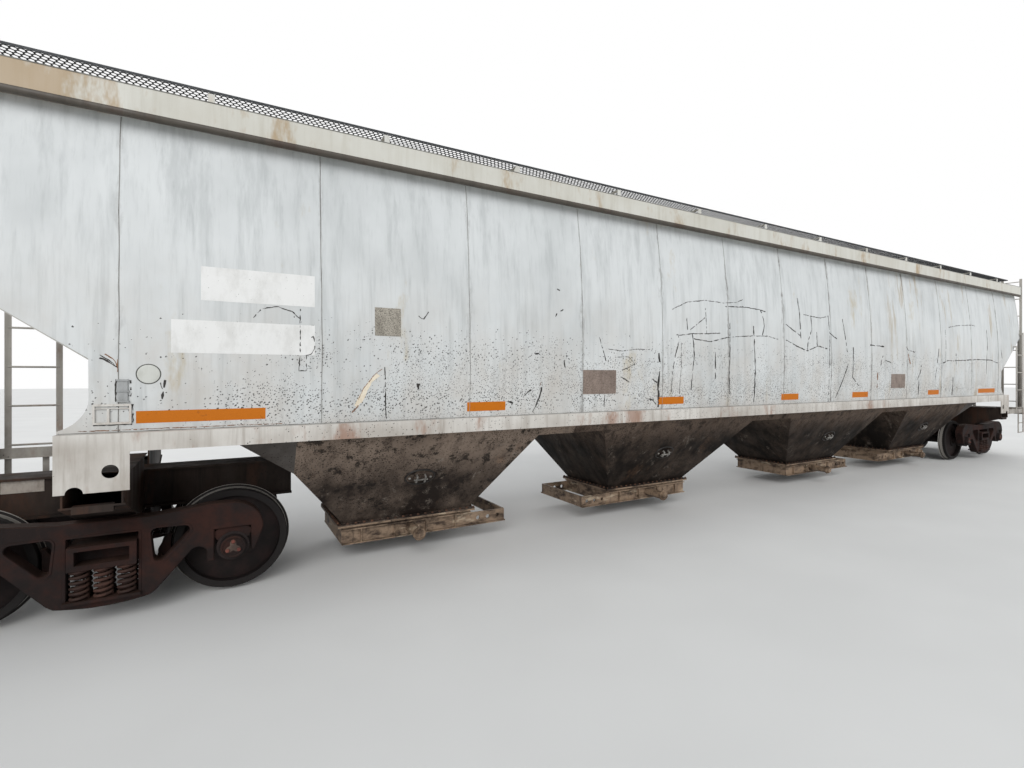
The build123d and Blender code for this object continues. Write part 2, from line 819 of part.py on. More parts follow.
def side_curve():
    """Centre and radius of a side's outer arc, in Y and Z."""
    (ay, az), (by, bz), (cy, cz) = side_line(0)
    twice = 2 * (ay * (bz - cz) + by * (cz - az) + cy * (az - bz))
    sa, sb, sc = ay * ay + az * az, by * by + bz * bz, cy * cy + cz * cz
    centre_y = (sa * (bz - cz) + sb * (cz - az) + sc * (az - bz)) / twice
    centre_z = (sa * (cy - by) + sb * (ay - cy) + sc * (by - ay)) / twice
    return centre_y, centre_z, math.hypot(ay - centre_y, az - centre_z)


def side_face(z):
    """Distance of a side's outer face from the middle at a height z."""
    centre_y, centre_z, radius = side_curve()
    return centre_y + math.sqrt(radius ** 2 - (z - centre_z) ** 2)


def side_ladder():
    """Ladder, step and brackets on the near side at the +X end."""
    outer = -ladder_face - ladder_bar
    half = ladder_stile / 2
    member = draft_top
    member_high = member + ladder_stile
    step_z = rail + step_rise
    slope = (slope_top - notch_high) / (body_half - notch_x)
    top_in = notch_high + slope * (stile_in_x - notch_x) + stile_lap
    top_out = slope_top + stile_lap
    step_x = stile_in_x + 2 * ladder_stile
    # middle of the bar, its lower end, its upper end
    stiles = (
        (stile_in_x, member, top_in),
        (step_x, step_z, member_high),
        (stile_out_x, step_z, top_out),
    )
    bars = []
    for x, low, high in stiles:
        bars.append(box(x - half, x + half, outer, -ladder_face, low, high))
    bars.append(box(stile_in_x - half, step_x + half, outer, -ladder_face, member, member_high))
    middle = outer + ladder_bar / 2
    for index in range(rung_count):
        z = member_high + rung_pitch * (index + 0.2)
        bars.append(rod_x(middle, z, rung_radius, stile_in_x, stile_out_x))
    for z in (step_z + rung_radius, (step_z + member) / 2):
        bars.append(rod_x(middle, z, rung_radius, step_x, stile_out_x))
    for x, z in ((stile_in_x, top_in - half), (stile_out_x, top_out - half)):
        reach = max(side_face(z - half), side_face(z + half)) + side_clear
        bars.append(box(x - half / 2, x + half / 2, -ladder_face, -reach, z - half / 2, z + half / 2))
    return welded(bars)


def end_ladder():
    """Ladder up the end wall to the running board, at the near corner of the +X end."""
    out = body_half + end_ladder_stand
    low = draft_top + 2 * platform_t
    high = board_low + board_depth
    bars = []
    for y in (end_ladder_in, end_ladder_out):
        bars.append(box(out - ladder_bar, out, -y - ladder_stile / 2, ladder_stile / 2 - y, low, high))
        for z in (slope_top + mouth_rim, eave_low - 2 * mouth_rim):
            bars.append(box(body_half, out - ladder_bar, -y - 15, 15 - y, z, z + 30))
    for index in range(end_rung_count):
        z = low + rung_pitch * (index + 0.6)
        bars.append(rod_y(out - ladder_bar / 2, z, rung_radius, -end_ladder_in, -end_ladder_out))
    return welded(bars)


def end_grab():
    """Grab iron on the end wall at the far corner of the +X end."""
    out = body_half + end_ladder_stand - 2 * rung_radius
    half = rung_radius + side_clear
    z = slope_top + 3 * mouth_rim
    bar = rod_y(out, z, rung_radius, end_ladder_in, end_ladder_out)
    for y in (end_ladder_in, end_ladder_out):
        bar += box(body_half, out + half, y - half, y + half, z - half, z + half)
    return bar


def saddled_tank(x, radius, half, saddle_y):
    """Tank lying across the stub sill on two saddles."""
    z = draft_top + radius + tank_stand
    tank = rod_y(x, z, radius, -half, half)
    for y in (-saddle_y, saddle_y):
        tank += box(x - 0.6 * radius, x + 0.6 * radius, y - sheet, y + sheet, draft_top, z)
    return tank


def air_brake_gear():
    """Reservoir and brake cylinder on the stub sill at end a, with the train pipe under the far sill."""
    reservoir = saddled_tank(reservoir_x, reservoir_radius, reservoir_half, reservoir_half / 3)
    cylinder = saddled_tank(cylinder_x, cylinder_radius, cylinder_half, cylinder_half / 2)
    cylinder_z = draft_top + cylinder_radius + tank_stand
    cylinder += rod_y(cylinder_x, cylinder_z, cylinder_radius + 20, -cylinder_half - 20, -cylinder_half)
    cylinder += rod_y(cylinder_x, cylinder_z, cylinder_radius / 4, cylinder_half, 1.6 * cylinder_half)
    y = (sill_face_y + shoulder_y) / 2
    z = sill_low - train_pipe_drop
    reach = sill_end - jack_half / 3
    pipe = rod_x(y, z, train_pipe_radius, -reach, reach)
    for index in range(pipe_clips):
        x = reach * (2 * (index + 0.5) / pipe_clips - 1)
        pipe += box(x - 15, x + 15, y - sheet, y + sheet, z, sill_low)
    return loose([reservoir, cylinder, pipe])


def hand_brake():
    """Hand brake wheel on its gear case, with the chain rod below, on the end wall at end a."""
    y = brake_wheel_y
    z = slope_top + brake_wheel_lift
    case_x = body_half + brake_case
    wheel_x = case_x + 2.5 * brake_wheel_rim
    case_low = z - 1.4 * brake_case
    case = box(body_half, case_x, y - brake_case, y + brake_case, case_low, z + brake_case)
    ring_radius = brake_wheel_radius - brake_wheel_rim
    wheel = rod_x(y, z, 3 * brake_wheel_rim, case_x, wheel_x + brake_wheel_rim)
    for index in range(brake_spokes):
        spoke = box(wheel_x - 7, wheel_x + 7, 0, ring_radius, -brake_wheel_rim, brake_wheel_rim)
        wheel += Pos(0, y, z) * Rot(90 + 360 * index / brake_spokes, 0, 0) * spoke
    wheel += Pos(wheel_x, y, z) * Rot(0, 90, 0) * Torus(ring_radius, brake_wheel_rim)
    rod_low = draft_top + 3 * ladder_stile
    return case + wheel + rod_z(body_half + brake_case / 2, y, chain_rod_radius, rod_low, case_low)


def make_fittings():
    """Ladders, air brake gear and hand brake."""
    climbing = loose([side_ladder(), end_ladder(), end_grab()])
    parts["ladders_a"] = climbing
    parts["ladders_b"] = turned(climbing)
    parts["air_brake_gear"] = air_brake_gear()
    parts["hand_brake"] = hand_brake()


# Outlets

def outlet(mouth):
    """Pneumatic outlet under one hopper: pan, side channels, tail frame and discharge tubes."""
    low, high = mouth
    z1 = mouth_z
    z0 = z1 - outlet_depth
    y = mouth_half_y
    wall = outlet_wall
    start = low - wall - outlet_tail
    arm_high = z0 + tail_depth
    rim = box(low - mouth_rim, high + mouth_rim, -y - mouth_rim, y + mouth_rim, z1 - wall, z1)
    pan = box(low - wall, high + wall, -y - wall, y + wall, z0, z1 - wall)
    body = rim + pan - box(low, high, -y, y, z0 + wall, z1)
    for side in (-1, 1):
        foot = side * (y + wall)
        edge = foot + side * outlet_lip
        body += box(start, high + wall, foot, edge, z0, z0 + outlet_bead)
        body += box(low - wall, high + wall, foot, edge, z1 - 2 * wall - outlet_bead, z1 - 2 * wall)
        arm = box(start, low - wall, side * y, foot, z0, arm_high)
        for index in range(tail_holes):
            hole_x = start + tail_hole_pitch * (index + 0.7)
            arm -= rod_y(hole_x, (z0 + arm_high) / 2, tail_hole_radius, side * y, foot)
        body += arm
        for index in range(outlet_ribs):
            rib_x = low + (index + 0.5) * (high - low) / outlet_ribs
            rib_top = z1 - 2 * wall - outlet_bead
            body += box(rib_x - wall / 4, rib_x + wall / 4, foot, edge, z0 + outlet_bead, rib_top)
    body += box(start, start + wall, -y, y, z0, arm_high)
    middle = (low + high) / 2
    tube_z = z0 + tube_drop
    tube = rod_y(middle, tube_z, tube_radius, y + wall / 2, tube_end)
    tube += rod_y(middle, tube_z, tube_plug, tube_end, tube_end + outlet_bead)
    return body + tube + across(tube)


def make_outlets():
    """The four outlets."""
    inner = outlet(inner_mouth)
    outer = outlet(outer_mouth)
    parts["outlet_1"] = along(outer)
    inner = Pos(inner_mouth[0] + inner_mouth[1], 0, 0) * along(inner)
    parts["outlet_2"] = along(inner)
    parts["outlet_3"] = inner
    parts["outlet_4"] = outer


# Bogies

def frame_half_edge():
    """Outline of the side frame's +X half, from the middle of its foot round to the middle of its top."""
    inner = wheelbase_half - jaw_half
    outer = wheelbase_half + jaw_half
    leg_low = rail + jaw_leg_rise
    nose = wheelbase_half + nose_reach
    foot = (belly_half, frame_low + belly_rise)
    knee = (belly_half + 40, frame_low + belly_rise + 30)
    arch_in = (inner - 175, leg_low + 110)
    arch_top = (inner - 100, leg_low + 134)
    arch_out = (inner - 58, leg_low + 60)
    edge = ThreePointArc((0, frame_low), (belly_half * 0.6, frame_low + belly_rise * 0.36), foot)
    edge += Polyline(foot, knee, arch_in)
    edge += ThreePointArc(arch_in, arch_top, arch_out)
    edge += Polyline(arch_out, (inner - 54, leg_low), (inner, leg_low), (inner, jaw_roof))
    edge += Line((inner, jaw_roof), (outer, jaw_roof))
    lip = (outer + 28, leg_low + 54)
    chin = (nose - 25, jaw_roof - 100)
    cheek = (nose, jaw_roof - 20)
    brow = (wheelbase_half - 20, frame_nose_top - 4)
    edge += Polyline((outer, jaw_roof), (outer, leg_low + 54), lip, chin, cheek)
    edge += ThreePointArc(cheek, (nose - 86, frame_nose_top - 60), brow)
    edge += Polyline(brow, (crown_x, frame_nose_top), (frame_flat, frame_top), (0, frame_top))
    return edge


def side_frame():
    """Cast side frame with its bolster window, openings and bearing jaws, on the +Y side."""
    half = frame_half_edge()
    body = drawn_y(make_face(half + mirror(half, about=Plane.YZ)), frame_in, frame_out)
    face = body.faces().sort_by(Axis.Y)[-1]
    body = chamfer(face.outer_wire().edges(), frame_edge)
    seat_half = window_half + 17
    body += box(-seat_half, seat_half, seat_in, seat_out, seat_z - seat_plate, seat_z)
    body -= box(-window_half, window_half, frame_in - 5, frame_out + 5, seat_z, window_top)
    for side in (-1, 1):
        body -= rounded_opening(side)
        body += bearing_adapter(side)
        body -= rod_y(side * wheelbase_half, axle_z, cup_radius + run_gap, frame_in - 50, frame_out + 50)
        edge = side * window_half
        body += box(edge - side * 6, edge, frame_in + 10, frame_out - 40, beam_low + 12, beam_top + 30)
    return body


def rounded_opening(side):
    """Three-cornered opening between the bolster window and a bearing jaw."""
    corners = [(side * x, rail + z) for x, z in opening_corners]
    wire = FilletPolyline(*corners, radius=opening_radius, close=True)
    return drawn_y(make_face(wire), frame_in - 10, frame_out + 10)


def bearing_adapter(side):
    """Adapter between a jaw's roof and the bearing cup."""
    x = side * wheelbase_half
    low = axle_z + cup_radius / 2
    points = [(x - jaw_half, low + 40), (x - jaw_half, jaw_roof - 26), (x - jaw_half + 34, jaw_roof)]
    points += [(x + jaw_half - 34, jaw_roof), (x + jaw_half, jaw_roof - 26), (x + jaw_half, low + 40)]
    points += [(x + jaw_half - 20, low), (x - jaw_half + 20, low)]
    return plate_xz(points, frame_in + 16, frame_out - 22)


def bogie_bolster():
    """Cast bolster with open ends, side bearings and the bowl for the centre plate."""
    top = centre_plate_z - 20
    low = beam_low - beam_belly
    points = [(-seat_out, beam_low), (-beam_slope_half, beam_low), (-beam_flat_half, low)]
    points += [(beam_flat_half, low), (beam_slope_half, beam_low)]
    points += [(seat_out, beam_low), (seat_out, beam_top), (bearing_y - 100, beam_top)]
    points += [(bearing_y - 220, top), (220 - bearing_y, top), (100 - bearing_y, beam_top)]
    points += [(-seat_out, beam_top)]
    beam = plate_yz(points, 8 - window_half, window_half - 8)
    for side in (-1, 1):
        end = side * seat_out
        beam -= box(-170, 170, end - side * 160, end + side * 5, beam_low + 42, beam_top - 34)
        y = side * bearing_y
        beam += box(-110, 110, y - 45, y + 45, beam_top, side_bearing_top)
    bowl = rod_z(0, 0, centre_plate_radius + 30, top, centre_plate_z + 10)
    bowl -= rod_z(0, 0, centre_plate_radius + 2, centre_plate_z - run_gap, centre_plate_z + 20)
    return beam + bowl


def coil_column(x, y):
    """Spring column as a stack of ridges, one for each turn of its wire."""
    pitch = (beam_low - seat_z) / spring_turns
    groove = spring_radius - 0.6 * spring_wire
    points = [(0, seat_z)]
    for turn in range(spring_turns):
        base = seat_z + turn * pitch
        points += [(groove, base), (spring_radius, base + pitch / 2)]
    points += [(groove, beam_low), (0, beam_low)]
    return Pos(x, y, 0) * revolve(Plane.XZ * make_face(Polyline(*points, close=True)), Axis.Z)


def springs():
    """Spring groups on the side-frame seats: ridged outer columns and plain inner ones."""
    coils = []
    for side in (-1, 1):
        for step in (-1, 0, 1):
            x = step * spring_pitch
            coils.append(coil_column(x, side * spring_out))
            coils.append(rod_z(x, side * spring_in, spring_radius - 6, seat_z, beam_low))
    return loose(coils)


def brake_beams():
    """Brake beams with their heads and curved shoes, between the wheels."""
    reach = tread_radius + shoe_gap
    shoe_y = rim_back + rim_width / 2 + 4
    z = brake_beam_z
    pieces = []
    for side in (-1, 1):
        x = side * (wheelbase_half - reach - 70)
        beam = rod_y(x, z, 28, -frame_in, frame_in)
        beam += box(x - side * 70, x, -30, 30, z - 10, z + 10)
        for y in (-shoe_y, shoe_y):
            back = x - side * 20
            profile = [(back, z - 30), (back + side * 70, z - 120), (back + side * 130, z - 120)]
            profile += [(back + side * 130, z + 180), (back + side * 70, z + 180), (back, z + 60)]
            head = plate_xz(profile, y - 44, y + 44)
            beam += head - rod_y(side * wheelbase_half, axle_z, reach, y - 50, y + 50)
        pieces.append(beam)
    return loose(pieces)


def wheelset():
    """Axle with two wheels, bearing cups and end caps, about its own middle."""
    tip = tread_radius + flange_depth
    rim_in = tread_radius - rim_depth
    y0 = rim_back
    y1 = y0 + rim_width
    hub = y0 - 20
    cup0 = journal_y - cup_half
    cup1 = journal_y + cup_half
    outline = [(0, 0), (0, axle_radius), (hub, axle_radius), (hub, hub_radius), (hub + 60, hub_radius)]
    outline += [(y0 + 55, hub_radius + 80), (y0 + 20, rim_in), (y0, rim_in), (y0, tip - 12)]
    outline += [(y0 + 8, tip), (y0 + 20, tip), (y0 + 34, tread_radius + 2), (y1 - 6, tread_radius - 4)]
    outline += [(y1, tread_radius - 10), (y1, rim_in), (y0 + 60, rim_in), (y0 + 90, hub_radius + 80)]
    outline += [(y1 - 26, hub_radius), (y1 + 4, hub_radius), (y1 + 4, axle_radius)]
    outline += [(cup0, axle_radius), (cup0, cup_radius), (cup1, cup_radius), (cup1, cap_radius)]
    outline += [(journal_y + cap_reach, cap_radius - 6), (journal_y + cap_reach, 0)]
    half = revolve(make_face(Polyline(*[(r, y) for y, r in outline], close=True)), Axis.Y)
    return half + across(half)


def make_bogies():
    """Both bogies and their wheelsets."""
    frame = side_frame()
    beam = bogie_bolster()
    coils = springs()
    brakes = brake_beams()
    pair = wheelset()
    for end_name, x in (("a", bogie_centre), ("b", -bogie_centre)):
        place = Pos(x, 0, 0)
        parts["side_frame_near_" + end_name] = place * across(frame)
        parts["side_frame_far_" + end_name] = place * frame
        parts["bogie_bolster_" + end_name] = place * beam
        parts["springs_" + end_name] = place * coils
        parts["brake_beams_" + end_name] = place * brakes
    places = (bogie_centre + wheelbase_half, bogie_centre - wheelbase_half)
    places += (wheelbase_half - bogie_centre, -wheelbase_half - bogie_centre)
    for index, x in enumerate(places):
        parts["wheelset_%d" % (index + 1)] = Pos(x, 0, axle_z) * pair


make_body()
make_roof()
make_ends()
make_fittings()
make_outlets()
make_bogies()

os.makedirs("parts", exist_ok=True)
for name, shape in parts.items():
    export_step(shape, "parts/" + name + ".step")
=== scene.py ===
"""Dresses the covered hopper wagon: paint and wear, fastenings, springs, walkway mesh, light and camera."""
import json
import logging
import math
from dataclasses import dataclass, field
from enum import Enum, auto
from typing import Any

import bpy
import numpy as np
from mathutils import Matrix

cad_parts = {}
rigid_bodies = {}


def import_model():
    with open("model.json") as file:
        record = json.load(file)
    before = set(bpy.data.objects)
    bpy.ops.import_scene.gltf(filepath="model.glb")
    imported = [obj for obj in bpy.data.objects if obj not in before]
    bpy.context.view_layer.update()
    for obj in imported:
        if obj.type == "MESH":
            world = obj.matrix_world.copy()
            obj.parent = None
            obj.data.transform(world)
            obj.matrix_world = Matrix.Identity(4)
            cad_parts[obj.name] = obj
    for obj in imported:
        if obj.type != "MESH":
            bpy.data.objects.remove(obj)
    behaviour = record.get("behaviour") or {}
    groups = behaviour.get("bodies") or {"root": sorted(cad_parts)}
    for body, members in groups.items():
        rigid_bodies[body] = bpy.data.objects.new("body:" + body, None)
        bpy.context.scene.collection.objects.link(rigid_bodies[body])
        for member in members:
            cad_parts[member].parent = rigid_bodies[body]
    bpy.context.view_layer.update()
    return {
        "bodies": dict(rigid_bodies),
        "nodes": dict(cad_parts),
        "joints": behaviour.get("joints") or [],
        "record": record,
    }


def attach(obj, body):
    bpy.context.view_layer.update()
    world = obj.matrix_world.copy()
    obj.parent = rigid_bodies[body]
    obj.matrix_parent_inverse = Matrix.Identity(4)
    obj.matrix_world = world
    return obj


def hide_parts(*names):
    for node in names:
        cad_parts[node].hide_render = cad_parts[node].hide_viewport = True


LOG = logging.getLogger("wagon")
BODY = "wagon_body"
ALONG = np.array([1.0, 0.0, 0.0])
UP = np.array([0.0, 0.0, 1.0])

# Top of the rail over the frame's floor, and the places of the axles, in metres
RAIL = 0.026
AXLES = (9.119, 7.341, -7.341, -9.119)
AXLE_Z = RAIL + 0.457
SIDE_SEAMS = (-8.090, -6.664, -5.237, -3.810, -2.540, -1.270, 0.0, 1.270, 2.540, 3.810, 5.237, 6.664, 8.090)

# Faces that meet at more than this angle keep a sharp edge between them
SHARP_ANGLE = math.radians(38)

# Names of the nodes that the finishes use most, and a smooth clamped range
MATHS = "ShaderNodeMath"
RANGE = "ShaderNodeMapRange"
SPLIT = "ShaderNodeSeparateXYZ"
CELLS = "ShaderNodeTexVoronoi"
SOFT: dict[Any, Any] = {"interpolation_type": "SMOOTHSTEP"}

# Both ends of a plate along the wagon, and its lower and upper edge over the rail, in metres
Patch = tuple[float, float, float, float]
# A scratch's width in mm, and its points along the wagon and over the rail in metres
Scratch = tuple[int, tuple[tuple[float, float], ...]]


# Sizes

class Side(Enum):
    """The two sides of the wagon, with the sign of Y."""

    NEAR = -1
    FAR = 1


class End(Enum):
    """The two ends of the wagon, with the sign of X."""

    A = 1
    B = -1


class Coat(Enum):
    """The finishes, named for what carries them."""

    BODY = auto()
    ROOF = auto()
    LID = auto()
    ROLL = auto()
    EAVE = auto()
    SILL = auto()
    HOPPER = auto()
    HOPPER_DARK = auto()
    UNDER = auto()
    SLOPE = auto()
    FRAME = auto()
    BRAKE = auto()
    POST = auto()
    BOGIE = auto()
    LOCK = auto()
    COUPLER = auto()
    SPRING = auto()
    BOLT = auto()
    CAP_BOLT = auto()
    MESH = auto()
    ALLOY = auto()
    TAPE = auto()
    SEAM = auto()
    SCAR = auto()
    SCAR_RUST = auto()
    SCAR_PALE = auto()
    VINYL = auto()
    BADGE = auto()
    BADGE_RIM = auto()
    TAG_GREY = auto()
    TAG_BROWN = auto()
    WORN = auto()
    GREASE = auto()
    HOLDER = auto()
    STRIP = auto()


@dataclass(frozen=True)
class SideArc:
    """Outer face of the curved side: an arc in Y and Z through foot, bulge and head, in metres."""

    foot: tuple[float, float] = (1.425, RAIL + 1.408)
    bulge: tuple[float, float] = (1.457, RAIL + 2.350)
    head: tuple[float, float] = (1.325, RAIL + 4.010)

    def circle(self) -> tuple[float, float, float]:
        """Centre and radius of the circle through the three points.

        Returns:
            Y of the centre, Z of the centre, and the radius.
        """
        (ay, az), (by, bz), (cy, cz) = self.foot, self.bulge, self.head
        twice = 2 * (ay * (bz - cz) + by * (cz - az) + cy * (az - bz))
        sa, sb, sc = ay * ay + az * az, by * by + bz * bz, cy * cy + cz * cz
        y = (sa * (bz - cz) + sb * (cz - az) + sc * (az - bz)) / twice
        z = (sa * (cy - by) + sb * (ay - cy) + sc * (by - ay)) / twice
        return y, z, math.hypot(ay - y, az - z)

    def face(self, z: np.ndarray, side: Side) -> tuple[np.ndarray, np.ndarray]:
        """Points and outward normals of the side at heights z.

        The half-width is the circle's centre plus the root of radius squared less height squared.

        Args:
            z: Heights.
            side: Which side of the wagon.

        Returns:
            Y of each point, and an array of normals.
        """
        cy, cz, radius = self.circle()
        y = cy + np.sqrt(radius**2 - (z - cz) ** 2)
        normal = np.stack([np.zeros_like(z), (y - cy) / radius * side.value, (z - cz) / radius], axis=-1)
        return y * side.value, normal


ARC = SideArc()


# Meshes

def grid_quads(rows: int, columns: int, close_rows: bool, close_columns: bool) -> np.ndarray:
    """Quads that join a grid of points.

    Args:
        rows: Number of rows.
        columns: Number of points in a row.
        close_rows: Whether the last row joins the first.
        close_columns: Whether a row's last point joins its first.

    Returns:
        An array of four indices a quad.
    """
    row = np.arange(rows if close_rows else rows - 1)[:, None]
    col = np.arange(columns if close_columns else columns - 1)[None, :]
    below, right = (row + 1) % rows, (col + 1) % columns
    quads = np.stack(np.broadcast_arrays(row * columns + col, row * columns + right,
                                         below * columns + right, below * columns + col), axis=-1)
    return quads.reshape(-1, 4)


def angles(count: int) -> np.ndarray:
    """Equal steps once round a circle, from 0."""
    return np.arange(count) / count * 2 * np.pi


class Shell:
    """Points and faces of one piece, gathered from several surfaces."""

    def __init__(self) -> None:
        """Starts an empty shell."""
        self.points: list[np.ndarray] = []
        self.faces: list[list[tuple[int, ...]]] = []
        self.count = 0

    def add(self, points: np.ndarray, faces: list[tuple[int, ...]]) -> "Shell":
        """Adds one surface.

        Args:
            points: Its points.
            faces: Its faces, as indices into those points.

        Returns:
            The shell itself.
        """
        points = np.asarray(points, dtype=float).reshape(-1, 3)
        self.points.append(points)
        self.faces.append([tuple(int(i) + self.count for i in face) for face in faces])
        self.count += len(points)
        return self

    def sweep(self, path: np.ndarray, across: np.ndarray, out: np.ndarray, ring: np.ndarray) -> "Shell":
        """Adds a closed ring carried along a path, with flat caps.

        A point of it is the path's point plus a times across plus b times out.

        Args:
            path: Points of the path.
            across: Direction of the ring's first coordinate, one for all or one a point.
            out: Direction of its second coordinate, one for all or one a point.
            ring: The ring's two coordinates, one row a point.

        Returns:
            The shell itself.
        """
        path = np.asarray(path, dtype=float)
        across = np.broadcast_to(across, path.shape)
        out = np.broadcast_to(out, path.shape)
        points = path[:, None] + ring[None, :, :1] * across[:, None] + ring[None, :, 1:] * out[:, None]
        n, k = points.shape[:2]
        faces = grid_quads(n, k, False, True)
        first = points[0]
        area = np.cross(first - first.mean(0), np.roll(first, -1, 0) - first.mean(0)).sum(0)
        flip = float(area @ (path[1] - path[0])) > 0
        quads = [tuple(q) for q in (faces if flip else faces[:, ::-1])]
        start = tuple(range(k))
        end = tuple(range((n - 1) * k, n * k))
        quads += [start[::-1] if flip else start, end if flip else end[::-1]]
        return self.add(points.reshape(-1, 3), quads)

    def rim(self, path: np.ndarray, out: np.ndarray, ring: np.ndarray) -> "Shell":
        """Adds a closed ring carried round a closed outline, with no caps.

        Its first coordinate runs along the product of the outline's direction and out.

        Args:
            path: Points of the outline, the last one joining the first.
            out: Direction of the ring's second coordinate.
            ring: The ring's two coordinates, one row a point.

        Returns:
            The shell itself.
        """
        ahead = np.roll(path, -1, 0) - np.roll(path, 1, 0)
        ahead /= np.linalg.norm(ahead, axis=1)[:, None]
        across = np.cross(ahead, out)
        points = path[:, None] + ring[None, :, :1] * across[:, None] + ring[None, :, 1:] * out
        faces = grid_quads(len(path), len(ring), True, True)
        forward = np.cross(across[0], out) @ (path[1] - path[0])
        return self.add(points.reshape(-1, 3), faces if forward > 0 else faces[:, ::-1])

    def copies(self, points: np.ndarray, faces: list[tuple[int, ...]], places: np.ndarray) -> "Shell":
        """Adds one small shape at many places.

        Args:
            points: The shape's points.
            faces: Its faces.
            places: Offsets, one row a copy.

        Returns:
            The shell itself.
        """
        moved = np.asarray(places)[:, None, :] + np.asarray(points)[None]
        shift = np.arange(len(places)) * len(points)
        every = [tuple(i + int(s) for i in face) for s in shift for face in faces]
        return self.add(moved.reshape(-1, 3), every)

    def piece(self, name: str, finish: bpy.types.Material, body: str = BODY, smooth: bool = True,
              slot: str | None = None) -> bpy.types.Object:
        """Makes the object and lets it ride on its body.

        Args:
            name: Name of the piece.
            finish: Its material.
            body: The body it rides on.
            smooth: Whether its faces are shaded smooth where they meet at a small angle.
            slot: Not used.

        Returns:
            The object.
        """
        mesh = bpy.data.meshes.new(name)
        mesh.from_pydata(np.concatenate(self.points).tolist(), [], [f for part in self.faces for f in part])
        mesh.validate()
        mesh.materials.append(finish)
        if smooth:
            mesh.shade_smooth()
            mesh.set_sharp_from_angle(angle=SHARP_ANGLE)
        obj = bpy.data.objects.new(name, mesh)
        bpy.context.scene.collection.objects.link(obj)
        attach(obj, body)
        LOG.info("%s: %d faces on %s", name, len(mesh.polygons), body)
        return obj


def circle_ring(radius: float, count: int, squash: float = 1.0) -> np.ndarray:
    """Points of a circle or ellipse: cosine and sine of equal steps, times the radius.

    Args:
        radius: Radius along the first coordinate.
        count: Number of points.
        squash: Second radius over the first.

    Returns:
        Two coordinates a point.
    """
    turn = angles(count)
    return np.stack([np.cos(turn) * radius, np.sin(turn) * radius * squash], axis=-1)


def plate_ring(low: float, high: float, bottom: float, top: float, bevel: float) -> np.ndarray:
    """Outline of a plate's cross-section with its two upper corners cut off.

    Args:
        low: First coordinate of one edge.
        high: First coordinate of the other edge.
        bottom: Second coordinate of the back.
        top: Second coordinate of the face.
        bevel: Width of the cut corners.

    Returns:
        Two coordinates a point.
    """
    return np.array([(low, bottom), (high, bottom), (high, top - bevel), (high - bevel, top),
                     (low + bevel, top), (low, top - bevel)])


def turned_shape(profile: tuple[tuple[float, float], ...], count: int,
                 axis: np.ndarray) -> tuple[np.ndarray, list[tuple[int, ...]]]:
    """A profile turned about an axis, closed at both ends by a pole.

    Each ring has the radius of its profile point and lies at its distance along the axis.

    Args:
        profile: Radius and distance along the axis, from the first pole to the last.
        count: Points round the axis.
        axis: Unit vector of the axis.

    Returns:
        Points and faces.
    """
    helper = UP if abs(axis[2]) < 0.9 else ALONG
    u = np.cross(helper, axis)
    u /= np.linalg.norm(u)
    v = np.cross(axis, u)
    turn = angles(count)
    spokes = np.cos(turn)[:, None] * u + np.sin(turn)[:, None] * v
    r, h = np.array(profile).T[:, :, None, None]
    points = (r * spokes[None] + h * axis).reshape(-1, 3)
    faces = [tuple(q) for q in grid_quads(len(profile), count, False, True)]
    poles = np.array([axis * profile[0][1], axis * profile[-1][1]])
    first, last, base = len(points), len(points) + 1, (len(profile) - 1) * count
    faces += [(first, (i + 1) % count, i) for i in range(count)]
    faces += [(last, base + i, base + (i + 1) % count) for i in range(count)]
    return np.concatenate([points, poles]), faces


def rounded_path(corners: np.ndarray, radius: float, steps: int = 6) -> np.ndarray:
    """Closed outline with its corners rounded by arcs that touch both edges.

    An arc's centre lies on the corner's bisector, at the radius over the sine of half the corner's angle.

    Args:
        corners: The corners, in order, one row each.
        radius: Radius of the arcs.
        steps: Points of each arc.

    Returns:
        Two coordinates a point.
    """
    back, ahead = np.roll(corners, 1, 0) - corners, np.roll(corners, -1, 0) - corners
    back /= np.linalg.norm(back, axis=1)[:, None]
    ahead /= np.linalg.norm(ahead, axis=1)[:, None]
    middle = back + ahead
    middle /= np.linalg.norm(middle, axis=1)[:, None]
    half = np.arccos(np.clip((back * ahead).sum(1), -1, 1)) / 2
    centre = corners + middle * (radius / np.sin(half))[:, None]
    reach = (radius / np.tan(half))[:, None]
    start, end = corners + back * reach - centre, corners + ahead * reach - centre
    first = np.arctan2(start[:, 1], start[:, 0])
    sweep = (np.arctan2(end[:, 1], end[:, 0]) - first + np.pi) % (2 * np.pi) - np.pi
    turn = first[:, None] + sweep[:, None] * np.linspace(0, 1, steps)
    return (centre[:, None] + radius * np.stack([np.cos(turn), np.sin(turn)], -1)).reshape(-1, 2)


def hex_bolt(across_flats: float, height: float) -> tuple[np.ndarray, list[tuple[int, ...]]]:
    """Upright hexagon head with a washer under it: six-sided rings of washer, flank and crown.

    Args:
        across_flats: Width of the hexagon.
        height: Height of washer and head together.

    Returns:
        Points and faces.
    """
    r = across_flats / math.sqrt(3)
    washer, seat, flank = 1.3 * r, 0.2 * height, 0.85 * height
    profile = ((washer, 0.0), (washer, seat), (r, seat), (r, flank), (0.8 * r, height))
    return turned_shape(profile, 6, UP)


# Node materials

def linear(hex_colour: str) -> tuple[float, float, float, float]:
    """Turns an sRGB hex colour to linear red, green and blue with full alpha."""
    raw = [int(hex_colour[i:i + 2], 16) / 255 for i in (1, 3, 5)]
    return tuple(c / 12.92 if c <= 0.04045 else ((c + 0.055) / 1.055) ** 2.4 for c in raw) + (1.0,)


